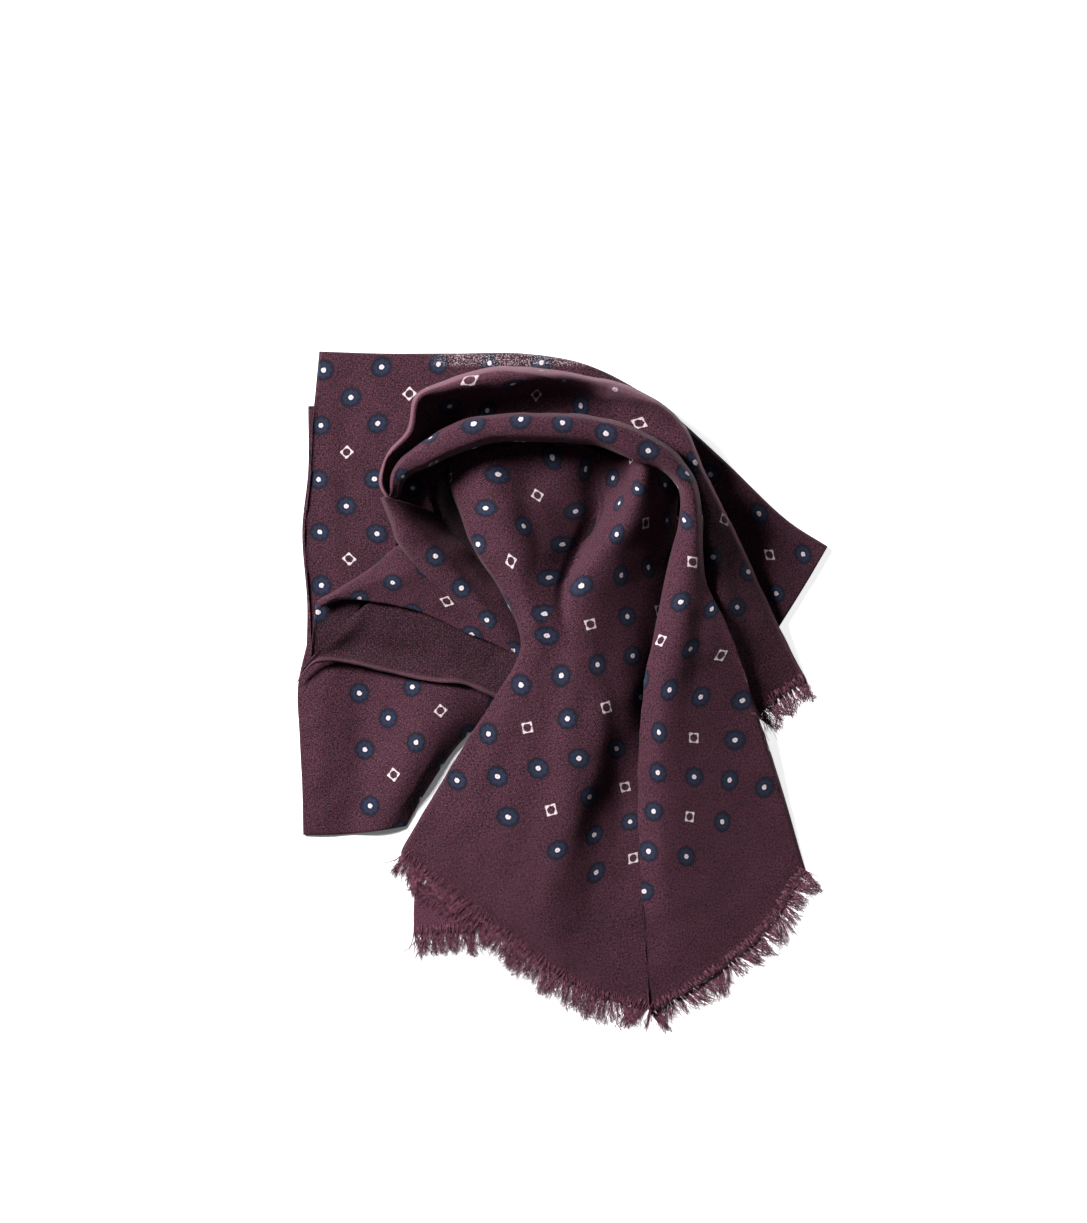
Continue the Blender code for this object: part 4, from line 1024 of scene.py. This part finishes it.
# %% [markdown]
# ## The loop
#
# The scarf's middle stands up round the back as a loop, and its inner face runs on down to the fringed right
# end, which is plain. The outer side of the same cloth comes out at the left and goes down under the fan.

# %% Loop and its right end, outer band
LOOP_PINS = ((-38, 142, 0, 0), (8.5, 143.5, 2, 2), (-13, 150.5, 1, 1), (75, 69, 5, 6), (87.5, 44.5, 6, 7))
LOOP_CREASES = (
    (-80, 106, -62, 138, -3, 3.5, 0.8),
    (-60, 140, 20, 150, -4, 3, -0.5),
    (66, 118, 104, 20, 3, 5, 0.9),
    (60, 100, 92, 12, -2, 5, -0.8),
)
loop_grid = lay_cloth(
    "wrap", [WRAP], cell=8, first=Turn(WRAP_REACH, WRAP_FOOT), creases=LOOP_CREASES, pins=LOOP_PINS,
    turns=((0, 85), (0.14, 55), (0.3, 15), (0.42, 0), (0.55, -35), (0.68, -60), (1, -62)),
    material=printed_wool("wool_loop", limits=((1, 1, 13),), tucked=((0, -2), (-1, -3)), reverse=0.75),
    reverse=True,
)
BAND_PINS = ((-63, 69.5, 0, 0), (-50.5, 54, 0, 1), (-38.5, 37.5, 0, 2), (-25, 22.5, 0, 3))
BAND_CREASES = (
    (-84, 92, -30, 30, 3, 3, 0.7),
    (-74, 90, -22, 34, -2, 4, -0.6),
)
lay_cloth(
    "band", [BAND], first=Turn(2.6, BAND_FOOT), creases=BAND_CREASES, pins=BAND_PINS,
    material=printed_wool("wool_band", limits=((0, -1, 0), (1, 0, 0))),
)

# %% [markdown]
# ## The front
#
# The front is the scarf's finest part: from under the roll it narrows over a valley and a second ridge, and
# then opens as a fan to its plain fringed end. Some cloth is tucked away in the valley, so the print jumps
# there. The right half begins as the roll itself, bends down as the third ridge and lies over the left half.

# %% Front, left half
FRONT_LEFT_PINS = (
    (-53, -44, -1, 2), (-12.5, -36.5, 1, 2), (27.5, -27, 3, 2), (-27.5, -61.5, 0, 3), (-3, -78.5, 1, 4),
    (35.5, -81, 3, 5), (-18, -16, 1, 1), (21.5, -6.5, 3, 1), (-21.5, 5, 1, 0), (34.5, 20, 4, 0),
    (-31.3, 110, 0, -5), (-5.2, 118, 1, -6), (-13.5, 99.4, 1, -5), (-38.6, 92.7, 0, -4), (-20, 84.3, 1, -4),
    (4.9, 91.5, 2, -5), (11.8, 111.7, 2, -6), (0, 74.8, 2, -4), (-25.6, 65.9, 1, -3), (-6.5, 57.7, 2, -3),
    (-12.4, 40.3, 2, -2), (-6.9, 30, 2, -1), (9.7, 55.4, 3, -2), (12.7, 34.8, 3, -1), (31, 38.5, 4, -1),
    (28.8, 59, 4, -2), (42.4, 64.7, 5, -2), (26.9, 80, 4, -3), (41.2, 85.2, 5, -3), (36.9, 104.2, 5, -4),
    (33, 117.3, 5, -5), (-43, 76.7, 0, -3),
)
FRONT_LEFT_TUCK = (
    (17.5, 124, 18), (18.5, 105, 17), (20, 92, 16), (9.5, 72, 14), (0, 49.5, 12), (-8.5, 37, 10),
    (-24, 24, 9),
)
FRONT_LEFT_UNSEEN = ((3, -3), (3, -5), (3, -4), (3, 6), (-1, -3))
FRONT_LEFT_CREASES = (
    (-12, 52, -52, -60, 4, 7, 0.9),
    (-2, 44, -22, -90, 3, 8, -0.8),
    (8, 40, 4, -104, -3, 7, 0.8),
    (20, 46, 30, -110, 2, 6, -0.9),
    (-34, 104, -16, 60, 3, 6, 0.7),
    (-20, 112, -8, 70, -2, 5, -0.6),
)
front_left_grid = lay_cloth(
    "front_left", [FRONT_LEFT], cell=8.5, first=Turn(2.2, FRONT_LEFT_FOOT), creases=FRONT_LEFT_CREASES,
    pins=FRONT_LEFT_PINS, tuck=FRONT_LEFT_TUCK,
    material=printed_wool("wool_front_left", limits=((-1, 1, 3),), tucked=FRONT_LEFT_UNSEEN),
)

# %% Front, right half
FRONT_RIGHT_PINS = (
    (67, -1.5, 1, 2), (64.5, -22, 1, 3), (85, -42.5, 2, 4), (103, -45.5, 3, 4), (81, -63.5, 2, 5),
    (60.5, -81, 1, 6), (42, -78.5, 0, 6), (41, -99, 0, 7), (47, -38.5, 0, 4), (65.5, 66.5, -1, -1),
    (49, 27, -1, 1), (42, 121, 0, -4), (21.5, 129.5, 0, -5), (-1, 135, 0, -6), (-21, 136.5, 0, -7),
    (-44, 134.8, 0, -8), (-66.7, 127.2, 0, -9),
)
FRONT_RIGHT_CREASES = (
    (72, 70, 56, -20, 3, 4, -0.9),
    (62, 60, 50, -30, 2, 4, 0.7),
    (70, 20, 84, -110, -3, 8, 0.8),
    (60, 10, 60, -120, 2, 7, -0.7),
    (88, 20, 104, -80, 2, 6, -0.6),
)
front_right_grid = lay_cloth(
    "front_right", [FRONT_RIGHT], cell=8.5, first=Turn(ROLL_OUTER_REACH, ROLL_OUTER_FOOT),
    last=Turn(ROLL_INNER_REACH, ROLL_INNER_FOOT), creases=FRONT_RIGHT_CREASES, pins=FRONT_RIGHT_PINS,
    turns=((0, 125), (0.1, 105), (0.28, 90), (0.36, 75), (0.42, 40), (0.47, 12), (0.52, 0), (1, 0)),
    material=printed_wool("wool_front_right", limits=((1, 1, 7),), pale=0.03),
)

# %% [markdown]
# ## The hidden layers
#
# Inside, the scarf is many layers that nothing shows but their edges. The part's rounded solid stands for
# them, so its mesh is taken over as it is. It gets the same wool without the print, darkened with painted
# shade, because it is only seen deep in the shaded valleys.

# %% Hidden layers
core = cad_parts["core"].data
hidden_points = np.array([vertex.co for vertex in core.vertices]) / MM + ORIGIN
hidden_lattice = (hidden_points[:, :2] @ np.array([[1, -1], [1, 1]])) / PITCH / math.sqrt(2)
hidden_faces = [tuple(polygon.vertices) for polygon in core.polygons]
# painted shade: pale=-0.6 darkens the hidden layers nearly to black, for the shade deep in the valleys
hidden_wool = printed_wool("wool_hidden_painted_shade", bare=True, pale=-0.6)
hidden = mesh_piece("hidden_layers", hidden_points, hidden_faces, hidden_wool, hidden_lattice)
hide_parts("core")
print("hidden layers:", len(hidden_faces), "faces")

# %% [markdown]
# ## Fringes
#
# The weft was pulled out of both ends, so the warp yarns hang free. They cling together in small bundles,
# spread again towards their tips and curl a little. Each yarn is a three-sided tapered tube, and a whole
# hem's yarns are joined in one mesh. Some keep out of the bundles and fill the gaps between them. Hair curves
# would be lighter to make, but they don't survive an export.

# %% Yarn ends
YARNS_PER_MM = 10.0
YARN = 0.17  # radius in mm
YARN_TAPER = 0.55  # how much of it a yarn loses up to its tip
YARN_POINTS = 9
BUNDLE = 1.9  # from one bundle to the next
LOOSE = 0.4  # share of the yarns that keep out of the bundles
FRINGE_LENGTH = 12.6
YARN_PALE = (0.185, 0.053, 0.088, 1)
YARN_DARK = (0.020, 0.004, 0.009, 1)


def yarn_wool():
    """Burgundy wool yarn, with a little change of shade from yarn to yarn."""
    recipe = Recipe("wool_yarn")
    shade = recipe.noise(recipe.own_place(), 700.0, 2.0) * 2.2 - 0.6
    return recipe.finished({
        "Base Color": recipe.blend(shade, YARN_DARK, YARN_PALE), "Roughness": 0.85,
        "Specular IOR Level": 0.25, "Sheen Weight": 0.08, "Sheen Tint": HAZE,
    })


def comb_out(node, hem, seed, material):
    """The yarn ends along a hem, in place of a fringe node."""
    chance = np.random.default_rng(seed)
    knots = np.concatenate([[0.0], np.cumsum(np.linalg.norm(np.diff(hem[:, :2], axis=0), axis=1))])
    count = int(knots[-1] * YARNS_PER_MM)
    roots = np.sort(chance.uniform(0, knots[-1], count))
    bundles = np.cumsum(chance.gamma(4.0, BUNDLE / 4, int(1.4 * knots[-1] / BUNDLE)))
    drift = np.interp(bundles, *smooth_chance(chance, knots[-1], 9.0, 0.38))
    leans = drift + chance.normal(0, 0.22, len(bundles))
    lengths = FRINGE_LENGTH * chance.uniform(0.7, 1.12, len(bundles))
    shares = np.linspace(0, 1, YARN_POINTS)
    gathering = np.sin(np.clip(shares * 1.4, 0, 1) * math.pi / 2)
    points, faces = [], []
    for root in roots:
        own = int(abs(bundles - root).argmin())
        start = np.array([np.interp(root, knots, hem[:, axis]) for axis in range(3)])
        behind, ahead = (
            np.array([np.interp(place, knots, hem[:, axis]) for axis in (0, 1)])
            for place in (max(root - 2, 0), min(root + 2, knots[-1]))
        )
        along = (ahead - behind) / np.linalg.norm(ahead - behind)
        out = np.array([along[1], -along[0]])
        loose = chance.random() < LOOSE
        reach = lengths[own] * chance.uniform(0.72, 1.05) * (chance.uniform(0.6, 1.15) if loose else 1)
        lean = leans[own] + chance.normal(0, 0.4 if loose else 0.1)
        curl, phase, turns = chance.normal(0, 0.9), chance.uniform(0, math.tau), chance.uniform(0.6, 1.8)
        pull = (bundles[own] - root) * (0.15 if loose else 0.65) * gathering
        back = chance.choice([0.4, 0.4, chance.uniform(0.4, 5.0)])
        wave = curl * np.sin(phase + turns * math.tau * shares) * shares
        sideways = pull + lean * reach * shares**1.3 + wave
        forward = (reach + back) * shares - back
        plan = start[:2] + forward[:, None] * out + sideways[:, None] * along
        loft = chance.uniform(0.2, 1.0)
        floor = np.array([max(cloths.top(x, y), 0.0) for x, y in plan])
        droop = np.maximum(start[2] - CLOTH / 2 - 1.3 * reach * shares**1.1, 0.0)
        heights = np.maximum(droop, floor + loft * np.clip(shares * 3, 0.15, 1))
        add_yarn(points, faces, np.column_stack([plan, heights]))
    piece = mesh_piece(node + "_yarns", np.array(points), faces, material)
    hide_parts(node)
    print(f"{node}: {count} yarns on {knots[-1]:.0f} mm")


def smooth_chance(chance, length, step, size):
    """Places along a hem and a slowly changing random value at each."""
    places = np.arange(0, length + 2 * step, step)
    return places, chance.normal(0, size, len(places))


def add_yarn(points, faces, line):
    """A three-sided tapered tube along a line."""
    first = len(points)
    for k, point in enumerate(line):
        radius = YARN * (1 - YARN_TAPER * k / (len(line) - 1))
        step = line[min(k + 1, len(line) - 1)] - line[max(k - 1, 0)]
        side = np.array([-step[1], step[0], 0.0])
        side /= np.linalg.norm(side) + 1e-9
        points += [point + side * radius, point - side * radius, point + np.array([0, 0, radius * 1.4])]
    for k in range(len(line) - 1):
        a = first + 3 * k
        for m, n in ((0, 1), (1, 2), (2, 0)):
            faces.append((a + m, a + n, a + 3 + n, a + 3 + m))
    faces.append((first, first + 2, first + 1))
    last = first + 3 * (len(line) - 1)
    faces.append((last, last + 1, last + 2))


yarn = yarn_wool()
hems = {
    "under_corner_fringe": corner_grid[-1],
    "right_end_fringe": loop_grid[-1][::-1],
    "front_left_fringe": front_left_grid[-1],
    "front_right_fringe": front_right_grid[-1][::-1],
}
for seed, (node, hem) in enumerate(hems.items(), start=3):
    comb_out(node, hem, seed, yarn)

# %% [markdown]
# ## Table, light and camera
#
# The photo is taken from straight above on white, with one large soft light from the left and enough bounce
# to keep the dark folds open. The table glows a little, most at the right, because the photo's white stays
# bright where one lamp would leave it grey. A long lens keeps the view almost without perspective.

# %% Floor
GLOW_RISES = (-0.01, 0.05)  # from where to where on x, in metres
FAINT_GLOW, FULL_GLOW = (0.12, 0.12, 0.12, 1), (1, 1, 1, 1)

bpy.ops.mesh.primitive_plane_add(size=6)
floor = bpy.context.object
floor.name = "floor"
white = Recipe("white_table")
glow = 1 - white.parts(white.own_place())[0].fade(*GLOW_RISES)
floor.data.materials.append(white.finished({
    "Base Color": (0.93, 0.93, 0.93, 1), "Roughness": 0.9,
    "Emission Color": white.blend(glow, FAINT_GLOW, FULL_GLOW), "Emission Strength": 0.8,
}))
print("the table glows from x =", GLOW_RISES[0], "to", GLOW_RISES[1], "m")

# %% Light
def area_light(name, place, size, power, colour=(1, 1, 1)):
    """A soft square light that looks at the scarf."""
    light = bpy.data.lights.new(name, "AREA")
    light.size = size
    light.energy = power
    light.color = colour
    made = bpy.data.objects.new(name, light)
    made.location = place
    made.rotation_euler = (-Vector(place)).to_track_quat("-Z", "Y").to_euler()
    bpy.context.scene.collection.objects.link(made)


area_light("window", (-1.6, 0.95, 1.35), 0.6, 165.0)
area_light("overhead", (0.2, 0.3, 2.2), 2.0, 1.5, (0.85, 0.9, 1.0))
bpy.context.scene.view_settings.view_transform = "Standard"
world = bpy.data.worlds.new("studio")
bpy.context.scene.world = world
world.use_nodes = True
sky = world.node_tree.nodes["Background"].inputs
sky["Color"].default_value = (0.85, 0.9, 1, 1)
sky["Strength"].default_value = 0.05
print("lamps:", [lamp.name for lamp in bpy.data.lights])

# %% Camera
FRAME_HEIGHT = 611.5  # what the picture takes in, in mm
LOOKS_AT = np.array([-9.75, 41.75, 15.0])
CAMERA_HEIGHT = 3.0  # in metres
SENSOR = 36.0  # in mm

camera_data = bpy.data.cameras.new("camera")
camera_data.sensor_width = SENSOR
camera_data.lens = SENSOR * CAMERA_HEIGHT / (FRAME_HEIGHT * MM)
camera = bpy.data.objects.new("camera", camera_data)
camera.location = Vector(to_metres(LOOKS_AT)) + Vector((0, 0, CAMERA_HEIGHT))
bpy.context.scene.collection.objects.link(camera)
bpy.context.scene.camera = camera
print("lens", round(camera_data.lens, 1), "mm")
